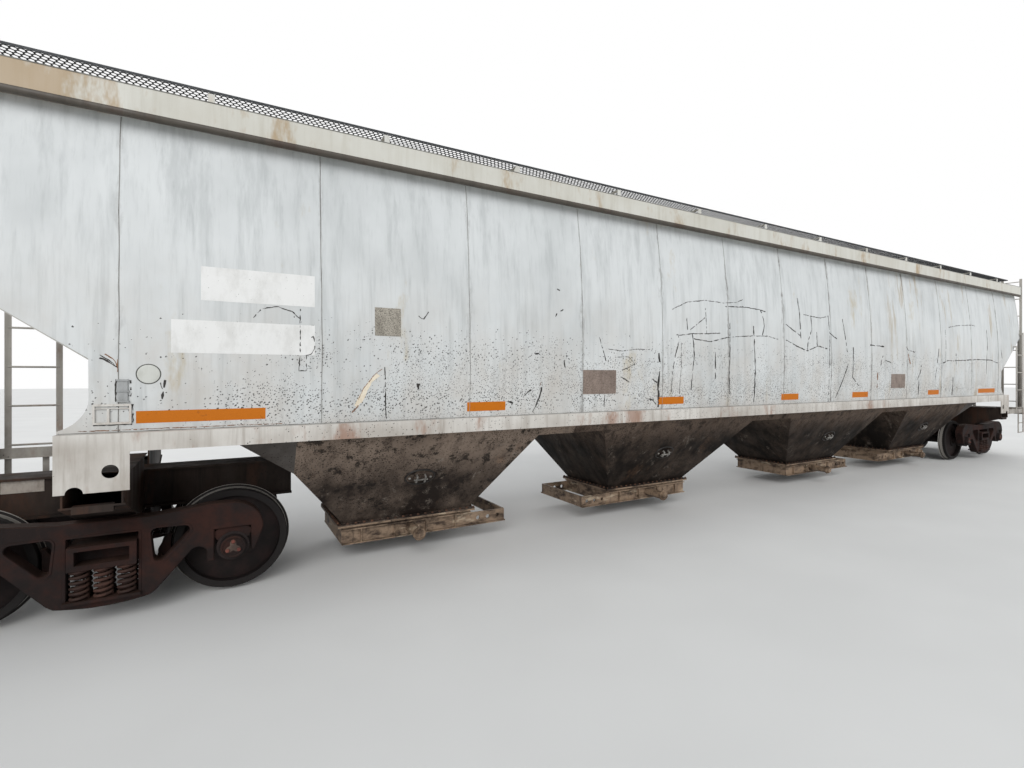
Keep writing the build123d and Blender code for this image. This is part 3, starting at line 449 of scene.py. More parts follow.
def add(tree: bpy.types.NodeTree, kind: str, settings: dict[Any, Any] | None = None,
        output: int | str = 0) -> bpy.types.NodeSocket | None:
    """Adds a node with its settings and links.

    Args:
        tree: The node tree.
        kind: Blender's name of the node.
        settings: By property name, input name or input number: a value, a hex colour, or a socket to link.
        output: Name or number of the output wanted.

    Returns:
        That output, which knows its node, or None where the node has no outputs.
    """
    node = tree.nodes.new(kind)
    for key, value in (settings or {}).items():
        if isinstance(value, bpy.types.NodeSocket):
            tree.links.new(value, node.inputs[key])
        elif isinstance(key, str) and hasattr(node, key):
            setattr(node, key, value)
        else:
            node.inputs[key].default_value = linear(value) if isinstance(value, str) else value
    return node.outputs[output] if node.outputs else None


@dataclass
class Recipe:
    """A material's tree while it is being written, with the object coordinates ready to use."""

    name: str
    tree: bpy.types.NodeTree = field(init=False)
    material: bpy.types.Material = field(init=False)
    place: bpy.types.NodeSocket = field(init=False)
    x: bpy.types.NodeSocket = field(init=False)
    y: bpy.types.NodeSocket = field(init=False)
    z: bpy.types.NodeSocket = field(init=False)

    def __post_init__(self) -> None:
        """Makes the material and splits its object coordinates."""
        self.material = bpy.data.materials.new(self.name)
        self.material.use_nodes = True
        self.tree = self.material.node_tree
        self.tree.nodes.clear()
        self.place = add(self.tree, "ShaderNodeTexCoord", {}, "Object")
        self.x, self.y, self.z = add(self.tree, SPLIT, {"Vector": self.place}).node.outputs

    def noise(self, scale: float, stretch: tuple[float, float, float] = (1, 1, 1), detail: float = 4.0,
              rough: float = 0.55, shift: float = 0.0) -> bpy.types.NodeSocket:
        """Noise between 0 and 1 on stretched object coordinates.

        Args:
            scale: Cells a metre.
            stretch: Factors for the three axes.
            detail: Octaves.
            rough: How strong the finer octaves are.
            shift: Offset that picks another part of the pattern.

        Returns:
            The noise value.
        """
        moved = {"Vector": self.place, "Scale": stretch, "Location": (shift, shift, shift)}
        pattern = {"Vector": add(self.tree, "ShaderNodeMapping", moved), "Scale": scale, "Detail": detail,
                   "Roughness": rough}
        return add(self.tree, "ShaderNodeTexNoise", pattern)

    def patches(self, low: float, high: float, scale: float,
                stretch: tuple[float, float, float] = (1, 1, 1), detail: float = 4.0, rough: float = 0.55,
                shift: float = 0.0, least: float = 0.0, most: float = 1.0) -> bpy.types.NodeSocket:
        """Soft-edged patches: noise that is least below one bound and most above the other.

        Args:
            low: Noise value where the patches begin.
            high: Noise value from which they are full.
            scale: Cells a metre.
            stretch: Factors for the three axes.
            detail: Octaves.
            rough: How strong the finer octaves are.
            shift: Offset that picks another part of the pattern.
            least: Value outside the patches.
            most: Value inside them.

        Returns:
            The value of the patches.
        """
        noise = self.noise(scale, stretch, detail, rough, shift)
        return add(self.tree, RANGE, SOFT | {0: noise, 1: low, 2: high, 3: least, 4: most})

    def product(self, *factors: Any) -> bpy.types.NodeSocket:
        """The product of several masks and numbers, taken from left to right.

        Args:
            factors: Sockets and numbers.

        Returns:
            The product.
        """
        total = factors[0]
        for factor in factors[1:]:
            total = add(self.tree, MATHS, {"operation": "MULTIPLY", 0: total, 1: factor})
        return total

    def cover(self, under: Any, mask: Any, amount: float, over: Any) -> bpy.types.NodeSocket:
        """Lays one colour over another where a mask allows it.

        Args:
            under: Hex colour or socket.
            mask: Where the colour over shows, from 0 to 1.
            amount: How much of it shows where the mask is 1.
            over: Hex colour or socket.

        Returns:
            The mixed colour.
        """
        factor = mask if amount == 1.0 else self.product(mask, amount)
        return add(self.tree, "ShaderNodeMix", {"data_type": "RGBA", 0: factor, 6: under, 7: over}, 2)

    def tilt(self) -> bpy.types.NodeSocket:
        """Z of the surface's normal: 1 on what faces up and -1 on what faces down."""
        normal = add(self.tree, "ShaderNodeNewGeometry", {}, "Normal")
        return add(self.tree, SPLIT, {"Vector": normal}, "Z")

    def finish(self, colour: bpy.types.NodeSocket, roughness: bpy.types.NodeSocket | float,
               height: bpy.types.NodeSocket | None = None, depth_mm: float = 0.0, metallic: float = 0.0,
               gloss: float = 0.5) -> bpy.types.Material:
        """Ends the tree in a shader.

        Args:
            colour: Base colour.
            roughness: Roughness, a number or a socket.
            height: Height for the bump, or None.
            depth_mm: Depth of the bump's full range in millimetres.
            metallic: 1 for bare metal.
            gloss: Strength of the mirror reflection, 0.5 for clean paint and less under dust.

        Returns:
            The material.
        """
        inputs: dict[Any, Any] = {"Base Color": colour, "Roughness": roughness, "Metallic": metallic,
                                  "Specular IOR Level": gloss}
        if height is not None:
            bump = {"Height": height, "Distance": depth_mm / 1000, "Strength": 1.0}
            inputs["Normal"] = add(self.tree, "ShaderNodeBump", bump)
        shader = add(self.tree, "ShaderNodeBsdfPrincipled", inputs)
        add(self.tree, "ShaderNodeOutputMaterial", {"Surface": shader})
        return self.material


@dataclass(frozen=True)
class WeatheredEnamel:
    """Sprayed alkyd enamel on rolled steel: chalked, streaked by rain, chipped to dark primer by stones."""

    # The eye gets a half-matt coat with broad weak highlights, browner and more specked towards the track
    name: str
    base: str = "#cdd2d4"
    streak: str = "#a9adac"
    streak_amount: float = 0.55
    grime: str = "#a79f95"
    grime_from: float = 2.5
    grime_to: float = 1.45
    grime_amount: float = 0.6
    grime_least: float = 0.0
    rust: str = "#a88a58"
    rust_amount: float = 0.25
    rust_from: float = 0.60
    rust_end: float = 0.0
    rust_runs: float = 0.0
    scuffs: float = 0.0
    seam_dirt: float = 0.0
    chips: float = 0.5
    chips_from: float = 2.6
    chips_to: float = 1.6
    dents_mm: float = 3.0
    roughness: float = 0.5
    gloss: float = 0.45

    def chip_mask(self, r: Recipe) -> bpy.types.NodeSocket:
        """Chips: spots about the points of a cell pattern, kept where a cell's lot is under a density.

        Args:
            r: The recipe.

        Returns:
            1 on a chip and 0 elsewhere.
        """
        # ragged chips 5 to 15 mm across lie about 20 mm apart where they are densest
        warp = r.noise(110.0, detail=3.0)
        moved = add(r.tree, "ShaderNodeVectorMath",
                    {"operation": "MULTIPLY_ADD", 0: warp, 1: (0.024, 0.024, 0.024), 2: r.place})
        cells = add(r.tree, CELLS, {"Vector": moved, "Scale": 56.0}).node.outputs
        lot = add(r.tree, "ShaderNodeSeparateColor", {"Color": cells["Color"]}).node.outputs
        low = add(r.tree, RANGE, SOFT | {0: r.z, 1: self.chips_from, 2: self.chips_to})
        patch = r.patches(0.38, 0.60, 1.3, (1, 1, 1.6), 3.0, 0.6, 7.0, least=0.10)
        # the photo shows few chips over the left bogie and most of them just right of it
        right = add(r.tree, RANGE, SOFT | {0: r.x, 1: -7.7, 2: -6.7, 3: 0.10})
        density = r.product(low, patch, right, self.chips)
        kept = add(r.tree, MATHS, {"operation": "LESS_THAN", 0: lot[0], 1: density})
        size = add(r.tree, MATHS, {"operation": "MULTIPLY_ADD", 0: lot[1], 1: 0.27, 2: 0.14})
        spot = add(r.tree, MATHS, {"operation": "LESS_THAN", 0: cells["Distance"], 1: size})
        return r.product(kept, spot)

    def seam_mask(self, r: Recipe) -> bpy.types.NodeSocket:
        """Dirt beside the weld seams: the distance to the nearest seam, broken up by stretched noise.

        Args:
            r: The recipe.

        Returns:
            1 where the dirt is thickest and 0 where there is none.
        """
        nearest: Any = 1.0
        for seam in SIDE_SEAMS:
            offset = add(r.tree, MATHS, {"operation": "SUBTRACT", 0: r.x, 1: seam})
            away = add(r.tree, MATHS, {"operation": "ABSOLUTE", 0: offset})
            nearest = add(r.tree, MATHS, {"operation": "MINIMUM", 0: away, 1: nearest})
        # the stain reaches 10 to 85 mm from the seam and comes and goes over half a metre
        width = r.patches(0.42, 0.72, 3.5, (1, 1, 0.5), 4.0, 0.7, 41.0, 0.010, 0.085)
        share = add(r.tree, MATHS, {"operation": "DIVIDE", 0: nearest, 1: width})
        clear = add(r.tree, RANGE, SOFT | {0: share, 1: 0.1, 2: 1.0})
        close = add(r.tree, MATHS, {"operation": "SUBTRACT", 0: 1.0, 1: clear})
        broken = r.patches(0.42, 0.62, 22.0, (1, 1, 0.22), 5.0, 0.75, 47.0)
        older = add(r.tree, RANGE, SOFT | {0: r.x, 1: -6.2, 2: 0.5, 3: 0.3})
        return r.product(close, broken, older)

    def rain_and_haze(self, r: Recipe) -> bpy.types.NodeSocket:
        """The base colour under chalky clouds, rain streaks and the haze thrown up from the track.

        Args:
            r: The recipe.

        Returns:
            The colour.
        """
        # chalking leaves soft clouds about half a metre across
        cloud = r.patches(0.35, 0.75, 1.1, (1, 1, 0.8), 4.0, 0.6)
        colour = r.cover(self.base, cloud, 0.35, self.streak)
        # rain draws dirt down in streaks 20 to 80 mm wide
        wide = r.patches(0.45, 0.72, 9.0, (1, 1, 0.07), 5.0, 0.7, 2.0)
        fine = r.patches(0.50, 0.78, 30.0, (1, 1, 0.04), 4.0, 0.7, 5.0)
        both = add(r.tree, MATHS, {"operation": "ADD", 0: wide, 1: r.product(fine, 0.6)})
        colour = r.cover(colour, both, self.streak_amount * 0.6, self.streak)
        thrown = r.patches(0.25, 0.8, 2.4, (1, 1, 0.6), 5.0, 0.65, 9.0, self.grime_least)
        low = add(r.tree, RANGE, SOFT | {0: r.z, 1: self.grime_from, 2: self.grime_to})
        return r.cover(colour, r.product(low, thrown), self.grime_amount, self.grime)

    def rust_over(self, r: Recipe, colour: bpy.types.NodeSocket) -> bpy.types.NodeSocket:
        """Rust that bleeds from edges and chips in tan patches and runs.

        Args:
            r: The recipe.
            colour: The colour under it.

        Returns:
            The colour with the rust.
        """
        bleed = r.noise(1.7, (1, 1, 0.35), 6.0, 0.7, 15.0)
        if self.rust_end > 0:
            # the photo's near left end is tan all over
            left = add(r.tree, RANGE, SOFT | {0: r.x, 1: -7.9, 2: -9.0, 4: self.rust_end})
            near = add(r.tree, MATHS, {"operation": "LESS_THAN", 0: r.y, 1: 0.0})
            bleed = add(r.tree, MATHS, {"operation": "ADD", 0: bleed, 1: r.product(left, near)})
        patch = add(r.tree, RANGE, SOFT | {0: bleed, 1: self.rust_from, 2: self.rust_from + 0.12})
        colour = r.cover(colour, patch, self.rust_amount, self.rust)
        if self.rust_runs > 0:
            # tan runs 30 to 100 mm wide below the eave and the seams of the A half
            run = r.patches(0.56, 0.68, 4.6, (1, 1, 0.11), 5.0, 0.72, 53.0)
            a_half = add(r.tree, RANGE, SOFT | {0: r.x, 1: 1.0, 2: 4.5})
            colour = r.cover(colour, r.product(run, a_half), self.rust_runs, "#9a8560")
        return colour

    def build(self) -> bpy.types.Material:
        """Writes the material.

        Returns:
            The material.
        """
        r = Recipe(self.name)
        colour = self.rust_over(r, self.rain_and_haze(r))
        if self.scuffs > 0:
            # stones and tools leave dark gouges and pale rubs 20 to 200 mm across
            gouge = r.patches(0.54, 0.60, 5.5, (1, 1, 1), 9.0, 0.78, 31.0)
            rub = r.patches(0.57, 0.66, 4.0, (1, 1, 0.6), 9.0, 0.80, 37.0)
            colour = r.cover(colour, rub, 0.7 * self.scuffs, "#8b8177")
            colour = r.cover(colour, gouge, self.scuffs, "#140f0c")
        if self.seam_dirt > 0:
            colour = r.cover(colour, self.seam_mask(r), self.seam_dirt, "#4f453d")
        height = r.noise(1.6, (1, 1, 1), 2.0, 0.5, 21.0)
        rough = r.patches(0.3, 0.7, 6.0, (1, 1, 0.3), 3.0, least=self.roughness - 0.08,
                          most=self.roughness + 0.14)
        if self.chips > 0:
            chip = self.chip_mask(r)
            colour = r.cover(colour, chip, 0.92, "#1f1b19")
            rough = add(r.tree, MATHS, {"operation": "MAXIMUM", 0: rough, 1: r.product(chip, 0.8)})
        return r.finish(colour, rough, height, self.dents_mm, gloss=self.gloss)


@dataclass(frozen=True)
class RustedCasting:
    """Sand-cast steel with brown mill rust, greasy soot in its hollows and pale dust on what faces up."""

    # The eye gets a dull brown black with no clear highlight, paler only where dust settles
    name: str
    base: str = "#2e1f1b"
    light: str = "#4b352c"
    dark: str = "#150e0c"
    dust: str = "#57483c"
    dust_amount: float = 0.5
    grain_mm: float = 1.2
    roughness: float = 0.78

    def build(self) -> bpy.types.Material:
        """Writes the material.

        Returns:
            The material.
        """
        r = Recipe(self.name)
        patch = r.patches(0.38, 0.68, 5.0, (1, 1, 1), 6.0, 0.65)
        colour = r.cover(self.base, patch, 1.0, self.light)
        soot = r.patches(0.50, 0.70, 2.3, (1, 1, 1), 4.0, 0.6, 4.0)
        colour = r.cover(colour, soot, 0.7, self.dark)
        speck = r.patches(0.60, 0.75, 55.0, (1, 1, 1), 3.0, 0.6, 8.0)
        colour = r.cover(colour, speck, 0.4, self.light)
        settled = add(r.tree, RANGE, SOFT | {0: r.tilt(), 1: 0.3, 2: 0.95})
        colour = r.cover(colour, settled, self.dust_amount, self.dust)
        # sand grain of the mould, about 2 mm, drawn at 6 mm so that it shows
        grain = r.noise(160.0, (1, 1, 1), 3.0, 0.7, 12.0)
        rough = add(r.tree, RANGE, SOFT | {0: patch, 3: self.roughness - 0.1, 4: self.roughness + 0.1})
        return r.finish(colour, rough, grain, self.grain_mm, gloss=0.2)


@dataclass(frozen=True)
class ForgedWheel:
    """Forged steel wheel: brown disc, oily rim face with painted shade, tread worn bright, painted
    highlight on the flange crest.
    """

    # The eye gets a dark disc with a thin pale ring: the worn tread, and a painted highlight on the flange
    # crest
    name: str
    centre_x: float

    def build(self) -> bpy.types.Material:
        """Writes the material; its rings follow the distance to the axle's line.

        Returns:
            The material.
        """
        r = Recipe(self.name)
        dx = add(r.tree, MATHS, {"operation": "SUBTRACT", 0: r.x, 1: self.centre_x})
        dz = add(r.tree, MATHS, {"operation": "SUBTRACT", 0: r.z, 1: AXLE_Z})
        square = add(r.tree, MATHS, {"operation": "ADD", 0: r.product(dx, dx), 1: r.product(dz, dz)})
        radius = add(r.tree, MATHS, {"operation": "SQRT", 0: square})
        colour = r.cover("#120b0a", r.patches(0.35, 0.7, 7.0, (1, 1, 1), 5.0, 0.65), 1.0, "#241715")
        # the rim face is darkened by oil and by painted shade
        oil_and_painted_shade = add(r.tree, RANGE, SOFT | {0: radius, 1: 0.388, 2: 0.396})
        colour = r.cover(colour, oil_and_painted_shade, 0.9, "#0d0908")
        # the rail wears the tread bright, about 75 mm wide; the flange's crest gets a thin painted
        # highlight, a reflection of the sky
        across = add(r.tree, MATHS, {"operation": "ABSOLUTE", 0: r.y})
        on_tread = add(r.tree, RANGE, SOFT | {0: radius, 1: 0.4552, 2: 0.4562})
        off_rim = add(r.tree, RANGE, SOFT | {0: across, 1: 0.806, 2: 0.796})
        under_root = add(r.tree, RANGE, SOFT | {0: radius, 1: 0.4625, 2: 0.4605})
        tread = r.product(on_tread, off_rim, under_root, 0.5)
        crest_highlight = r.product(add(r.tree, RANGE, SOFT | {0: radius, 1: 0.4800, 2: 0.4818}), 0.75)
        wear_and_highlight = add(r.tree, MATHS, {"operation": "MAXIMUM", 0: tread, 1: crest_highlight})
        colour = r.cover(colour, wear_and_highlight, 1.0, "#b7b2aa")
        rough = add(r.tree, MATHS, {"operation": "SUBTRACT", 0: 0.72, 1: r.product(wear_and_highlight, 0.38)})
        grain = r.noise(140.0, (1, 1, 1), 3.0, 0.7, 5.0)
        return r.finish(colour, rough, grain, 0.5, gloss=0.3)


@dataclass(frozen=True)
class DirtyCastAlloy:
    """Sand-cast aluminium alloy, oxidised to a cream grey under brown brake dust and grease."""

    # The eye gets a matt cream with dark runs and a dark underside, and no metal gleam
    name: str = "outlet_alloy_finish"

    def build(self) -> bpy.types.Material:
        """Writes the material.

        Returns:
            The material.
        """
        r = Recipe(self.name)
        colour = r.cover("#86725f", r.patches(0.42, 0.66, 4.0, (1, 1, 2.5), 6.0, 0.7), 1.0, "#33271f")
        runs = r.patches(0.5, 0.75, 16.0, (1, 1, 0.3), 4.0, 0.7, 6.0)
        colour = r.cover(colour, runs, 0.9, "#291e18")
        fresh = r.patches(0.6, 0.68, 3.0, (1, 1, 3.0), 3.0, 0.6, 16.0)
        colour = r.cover(colour, fresh, 0.6, "#b3a48e")
        under = add(r.tree, RANGE, SOFT | {0: r.tilt(), 1: -0.3, 2: -0.9})
        colour = r.cover(colour, under, 0.8, "#2b231e")
        grain = r.noise(120.0, (1, 1, 1), 3.0, 0.7, 3.0)
        return r.finish(colour, 0.62, grain, 0.6, gloss=0.3)


@dataclass(frozen=True)
class GalvanisedMesh:
    """Expanded steel, hot-dip galvanised and gone dull dark grey, brown where the zinc is worn off."""

    # The eye gets a dark grey lattice with a faint gleam that changes from grain to grain
    name: str = "walk_steel_finish"

    def build(self) -> bpy.types.Material:
        """Writes the material.

        Returns:
            The material.
        """
        r = Recipe(self.name)
        # zinc spangle of 5 to 15 mm
        spangle = add(r.tree, CELLS, {"Vector": r.place, "Scale": 90.0}, "Color")
        tone = add(r.tree, "ShaderNodeSeparateColor", {"Color": spangle}).node.outputs
        colour = r.cover("#25272a", tone[0], 1.0, "#3b3e41")
        colour = r.cover(colour, r.patches(0.55, 0.7, 3.0, (1, 1, 1), 5.0, 0.7), 0.7, "#33261e")
        return r.finish(colour, 0.6, tone[1], 0.2, 0.3)


@dataclass(frozen=True)
class PrismaticTape:
    """Orange prismatic reflective tape: a fine cell pattern under clear film, scuffed and dirty."""

    # The eye gets a strong orange with a faint grid, since no lamp shines from beside the camera
    name: str = "reflective_tape_finish"

    def build(self) -> bpy.types.Material:
        """Writes the material.

        Returns:
            The material.
        """
        r = Recipe(self.name)
        # prism cells are 3 mm wide, drawn at 9 mm so that they show
        cells = add(r.tree, CELLS, {"Vector": r.place, "Scale": 110.0}, "Distance")
        tone = add(r.tree, RANGE, SOFT | {0: cells, 2: 0.6})
        colour = r.cover("#c06c10", tone, 0.35, "#a85c0a")
        colour = r.cover(colour, r.patches(0.58, 0.70, 24.0, (1, 1, 1), 4.0, 0.7, 3.0), 0.5, "#76441b")
        return r.finish(colour, 0.5, tone, 0.1, gloss=0.2)


@dataclass(frozen=True)
class PlainSheet:
    """Thin flat sheet, vinyl or stamped metal: even colour, faint dirt, fine scratches and dark specks."""

    # The eye gets one flat colour with a soft sheen, clouded by handling
    name: str
    base: str
    dirt: str
    amount: float = 0.35
    roughness: float = 0.45
    mottle: float = 0.0

    def build(self) -> bpy.types.Material:
        """Writes the material.

        Returns:
            The material.
        """
        r = Recipe(self.name)
        cloud = r.patches(0.40, 0.72, 7.0, (1, 1, 0.5), 5.0, 0.7)
        colour = r.cover(self.base, cloud, self.amount, self.dirt)
        if self.mottle > 0:
            # pits and worn spots 5 to 15 mm across
            pits = r.patches(0.48, 0.58, 85.0, (1, 1, 1), 4.0, 0.75, 12.0)
            colour = r.cover(colour, pits, self.mottle, "#453e36")
        colour = r.cover(colour, r.patches(0.68, 0.74, 70.0, (1, 1, 1), 3.0, 0.6, 6.0), 0.8, "#2a2522")
        fine = r.noise(90.0, (1, 1, 0.2), 3.0, 0.6, 2.0)
        rough = add(r.tree, RANGE, SOFT | {0: cloud, 3: self.roughness - 0.08, 4: self.roughness + 0.12})
        return r.finish(colour, rough, fine, 0.15)


@dataclass
class Paints:
    """Every finish of the wagon, made once."""

    coats: dict[Coat, bpy.types.Material] = field(init=False)
    wheels: dict[int, bpy.types.Material] = field(init=False)

    def __post_init__(self) -> None:
        """Builds the coats, and a finish for each wheelset by its number."""
        recipes = self.enamels() | self.metals() | self.sheets()
        self.coats = {coat: recipe.build() for coat, recipe in recipes.items()}
        self.wheels = {number: ForgedWheel(f"forged_wheel_{number}", x).build()
                       for number, x in enumerate(AXLES, start=1)}

    def enamels(self) -> dict[Coat, WeatheredEnamel]:
        """Finishes of what is painted, with their heights in metres over the floor.

        Returns:
            The finishes by coat.
        """
        return {
            Coat.BODY: WeatheredEnamel(
                "body_enamel", base="#cdd0d0", streak="#9da1a1", streak_amount=0.75, grime="#aea294",
                grime_from=3.4, grime_to=1.5, grime_amount=0.55, rust="#a89465", rust_amount=0.5,
                rust_runs=0.6, seam_dirt=0.75, chips=3.4),
            Coat.ROOF: WeatheredEnamel(
                "roof_enamel", base="#c3c2bc", streak="#9c9788", grime="#a0917a", grime_from=5.2,
                grime_to=4.3, rust_amount=0.4, chips=0.0),
            Coat.LID: WeatheredEnamel(
                "lid_enamel", base="#bdbcb6", streak="#928c7e", rust_amount=0.45, rust_from=0.55, chips=0.0,
                dents_mm=1.0),
            # the eave's rolled lower edge is dark brown grey: dirt, and painted shade under the eave
            Coat.ROLL: WeatheredEnamel(
                "eave_roll_enamel", base="#4d473f", streak="#2c2620", streak_amount=0.9, rust="#3d2c22",
                rust_amount=0.6, rust_from=0.5, chips=0.0, dents_mm=1.0),
            Coat.EAVE: WeatheredEnamel(
                "eave_enamel", base="#c9c8c0", streak="#a19a88", rust="#9b8059", rust_amount=0.75,
                rust_from=0.52, rust_end=0.25, chips=0.0, dents_mm=1.0),
            Coat.SILL: WeatheredEnamel(
                "sill_enamel", base="#cecbc5", streak="#877d72", streak_amount=0.95, grime="#8b8176",
                grime_from=1.62, grime_to=1.45, rust="#86583b", rust_amount=0.65, rust_from=0.53, chips=0.3,
                chips_to=1.3, dents_mm=1.0),
            Coat.HOPPER: WeatheredEnamel(
                "hopper_enamel", base="#8a7a6d", streak="#3a2f28", streak_amount=1.2, grime="#1f1713",
                grime_from=1.35, grime_to=0.75, grime_amount=1.25, grime_least=0.35, rust="#8a6a52",
                rust_amount=0.4, rust_from=0.58, scuffs=0.85, chips=1.6, chips_from=3.0, chips_to=1.2,
                dents_mm=30.0, roughness=0.66, gloss=0.2),
            # hoppers 2 to 4 take a darker copy of hopper 1's enamel: painted shade, as they lie deeper
            # under the body
            Coat.HOPPER_DARK: WeatheredEnamel(
                "hopper_dark_enamel", base="#6a5b50", streak="#241b16", streak_amount=1.2, grime="#15100d",
                grime_from=1.40, grime_to=0.95, grime_amount=1.25, grime_least=0.45, rust="#5d4636",
                rust_amount=0.4, rust_from=0.58, scuffs=0.6, chips=1.2, chips_from=3.0, chips_to=1.2,
                dents_mm=30.0, roughness=0.66, gloss=0.15),
            # near-black brown on the bolsters and draft sills: grimy paint, darkened further as painted
            # shade under the body
            Coat.UNDER: WeatheredEnamel(
                "underside_enamel", base="#3a302a", streak="#1a1411", streak_amount=1.1, grime="#120d0b",
                grime_from=1.5, grime_to=0.8, grime_amount=0.95, rust="#4a3023", rust_amount=0.5,
                rust_from=0.5, chips=0.3, dents_mm=2.0, roughness=0.7, gloss=0.2),
            # the end slope sheets turn near-black brown from 2.4 m down to 1.55 m
            Coat.SLOPE: WeatheredEnamel(
                "slope_enamel", base="#b4b2ac", streak="#857d72", grime="#2c231e", grime_from=2.4,
                grime_to=1.55, grime_amount=1.0, grime_least=0.85, chips=0.6),
            Coat.FRAME: WeatheredEnamel(
                "frame_enamel", base="#b5b1a9", streak="#7d756c", grime="#463a32", grime_from=2.6,
                grime_to=1.0, grime_amount=0.95, rust="#7d5439", rust_amount=0.5, rust_from=0.55, chips=0.4,
                dents_mm=1.0),
            Coat.BRAKE: WeatheredEnamel(
                "brake_enamel", base="#4d453f", streak="#2c2520", grime="#31271f", grime_from=2.0,
                grime_to=0.8, chips=0.2, dents_mm=0.6, roughness=0.6),
            Coat.POST: WeatheredEnamel(
                "post_enamel", base="#cfcfca", streak="#9f9a8e", grime_amount=0.1, rust_amount=0.4,
                rust_from=0.55, chips=0.0, dents_mm=0.4),
        }

    def metals(self) -> dict[Coat, RustedCasting | GalvanisedMesh | DirtyCastAlloy]:
        """Finishes of bare cast, rolled and galvanised metal.

        Returns:
            The finishes by coat.
        """
        return {
            Coat.BOGIE: RustedCasting("bogie_casting", "#170d0b", "#321e19", "#080505", "#3d2b21", 0.35),
            Coat.LOCK: RustedCasting("locking_plate_steel", "#433731", "#63534a", grain_mm=0.2),
            Coat.COUPLER: RustedCasting("coupler_casting", "#34241e", "#5b3d2e"),
            Coat.SPRING: RustedCasting(
                "spring_steel_bar", "#2a1c19", "#4a332c", dust_amount=0.25, grain_mm=0.4),
            Coat.BOLT: RustedCasting("bolt_steel", "#3a2c26", "#6a4b3a", grain_mm=0.3),
            Coat.CAP_BOLT: RustedCasting(
                "cap_bolt_steel", "#59302a", "#7a4b40", dust_amount=0.2, grain_mm=0.2),
            Coat.MESH: GalvanisedMesh(),
            Coat.ALLOY: DirtyCastAlloy(),
        }

    def sheets(self) -> dict[Coat, PlainSheet | PrismaticTape]:
        """Finishes of tape, vinyl, small plates, seams and scratches.

        Returns:
            The finishes by coat.
        """
        return {
            Coat.TAPE: PrismaticTape(),
            Coat.SEAM: PlainSheet("seam_dirt", "#858581", "#4a4540", 0.9, 0.6),
            # dark scratches to bare primer, and the painted shadow lines round the card frame and its clip
            Coat.SCAR: PlainSheet("bare_primer", "#26221f", "#141110", 0.8, 0.7),
            Coat.SCAR_RUST: PlainSheet("rusted_scrape", "#7a5233", "#3f2617", 0.8, 0.7),
            Coat.SCAR_PALE: PlainSheet("fresh_scrape", "#ddd3c0", "#b49c7a", 0.7, 0.5),
            Coat.VINYL: PlainSheet("white_vinyl", "#dcdcda", "#b4b3ae", 0.45),
            Coat.BADGE: PlainSheet("badge_vinyl", "#c3c4be", "#8d8d80", 0.5),
            Coat.BADGE_RIM: PlainSheet("badge_rim_ink", "#4a4a45", "#2c2b28", 0.5),
            Coat.TAG_GREY: PlainSheet("etched_plate", "#a09a8e", "#6a6459", 0.8, 0.5, mottle=0.75),
            Coat.TAG_BROWN: PlainSheet("aged_label", "#86766c", "#5d4f47", 0.7, 0.5, mottle=0.6),
            # pale grey bracket steel: worn steel, painted pale also as the highlights on the bracket's
            # edges
            Coat.WORN: PlainSheet("worn_lug_steel", "#8f8c87", "#2c2622", 1.0, 0.42),
            Coat.GREASE: PlainSheet("greasy_rim", "#1a1512", "#0c0a09", 0.8, 0.5),
            Coat.HOLDER: PlainSheet("holder_steel", "#9fa1a1", "#6f6f6d", 0.6, 0.5),
            Coat.STRIP: PlainSheet("faded_strip", "#a39a90", "#6a5f56", 0.8, 0.6),
        }

    def __getitem__(self, coat: Coat) -> bpy.types.Material:
        """The material of that coat."""
        return self.coats[coat]


# Sub-assemblies

@dataclass
class CarriedNodes:
    """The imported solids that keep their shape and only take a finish."""

    paints: Paints
    # how the names of a coat's nodes begin; the first that fits holds
    starts: tuple[tuple[Coat, tuple[str, ...]], ...] = (
        (Coat.BODY, ("side_sheet", "end_wall")),
        (Coat.SLOPE, ("end_slope",)),
        (Coat.EAVE, ("eave",)),
        (Coat.ROOF, ("roof",)),
        (Coat.LID, ("hatch_lid",)),
        (Coat.HOPPER, ("hopper_1",)),
        # the other hoppers take the darker copy of the enamel, which is painted shade
        (Coat.HOPPER_DARK, ("hopper",)),
        (Coat.SILL, ("side_sill",)),
        (Coat.MESH, ("running_board", "crossovers")),
        (Coat.POST, ("board_posts",)),
        (Coat.FRAME, ("ladders", "end_posts", "end_platform", "hand_brake")),
        (Coat.UNDER, ("body_bolster", "draft_sill")),
        (Coat.ALLOY, ("outlet",)),
        (Coat.COUPLER, ("coupler",)),
        (Coat.BOGIE, ("side_frame", "bogie_bolster", "brake_beams")),
        (Coat.SPRING, ("springs",)),
        (Coat.BRAKE, ("air_brake_gear",)),
    )

    def dress(self, nodes: dict[str, bpy.types.Object]) -> None:
        """Gives each node its finish.

        Args:
            nodes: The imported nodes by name.
        """
        for name, obj in nodes.items():
            wheelset = name.startswith("wheelset")
            finish = self.paints.wheels[int(name[-1])] if wheelset else self.paints[self.coat(name)]
            if not obj.material_slots:
                obj.data.materials.append(finish)
            for slot in obj.material_slots:
                slot.material = finish
            LOG.info("%s takes %s", name, finish.name)

    def coat(self, name: str) -> Coat:
        """The coat for a node's name."""
        return next(coat for coat, starts in self.starts if name.startswith(starts))


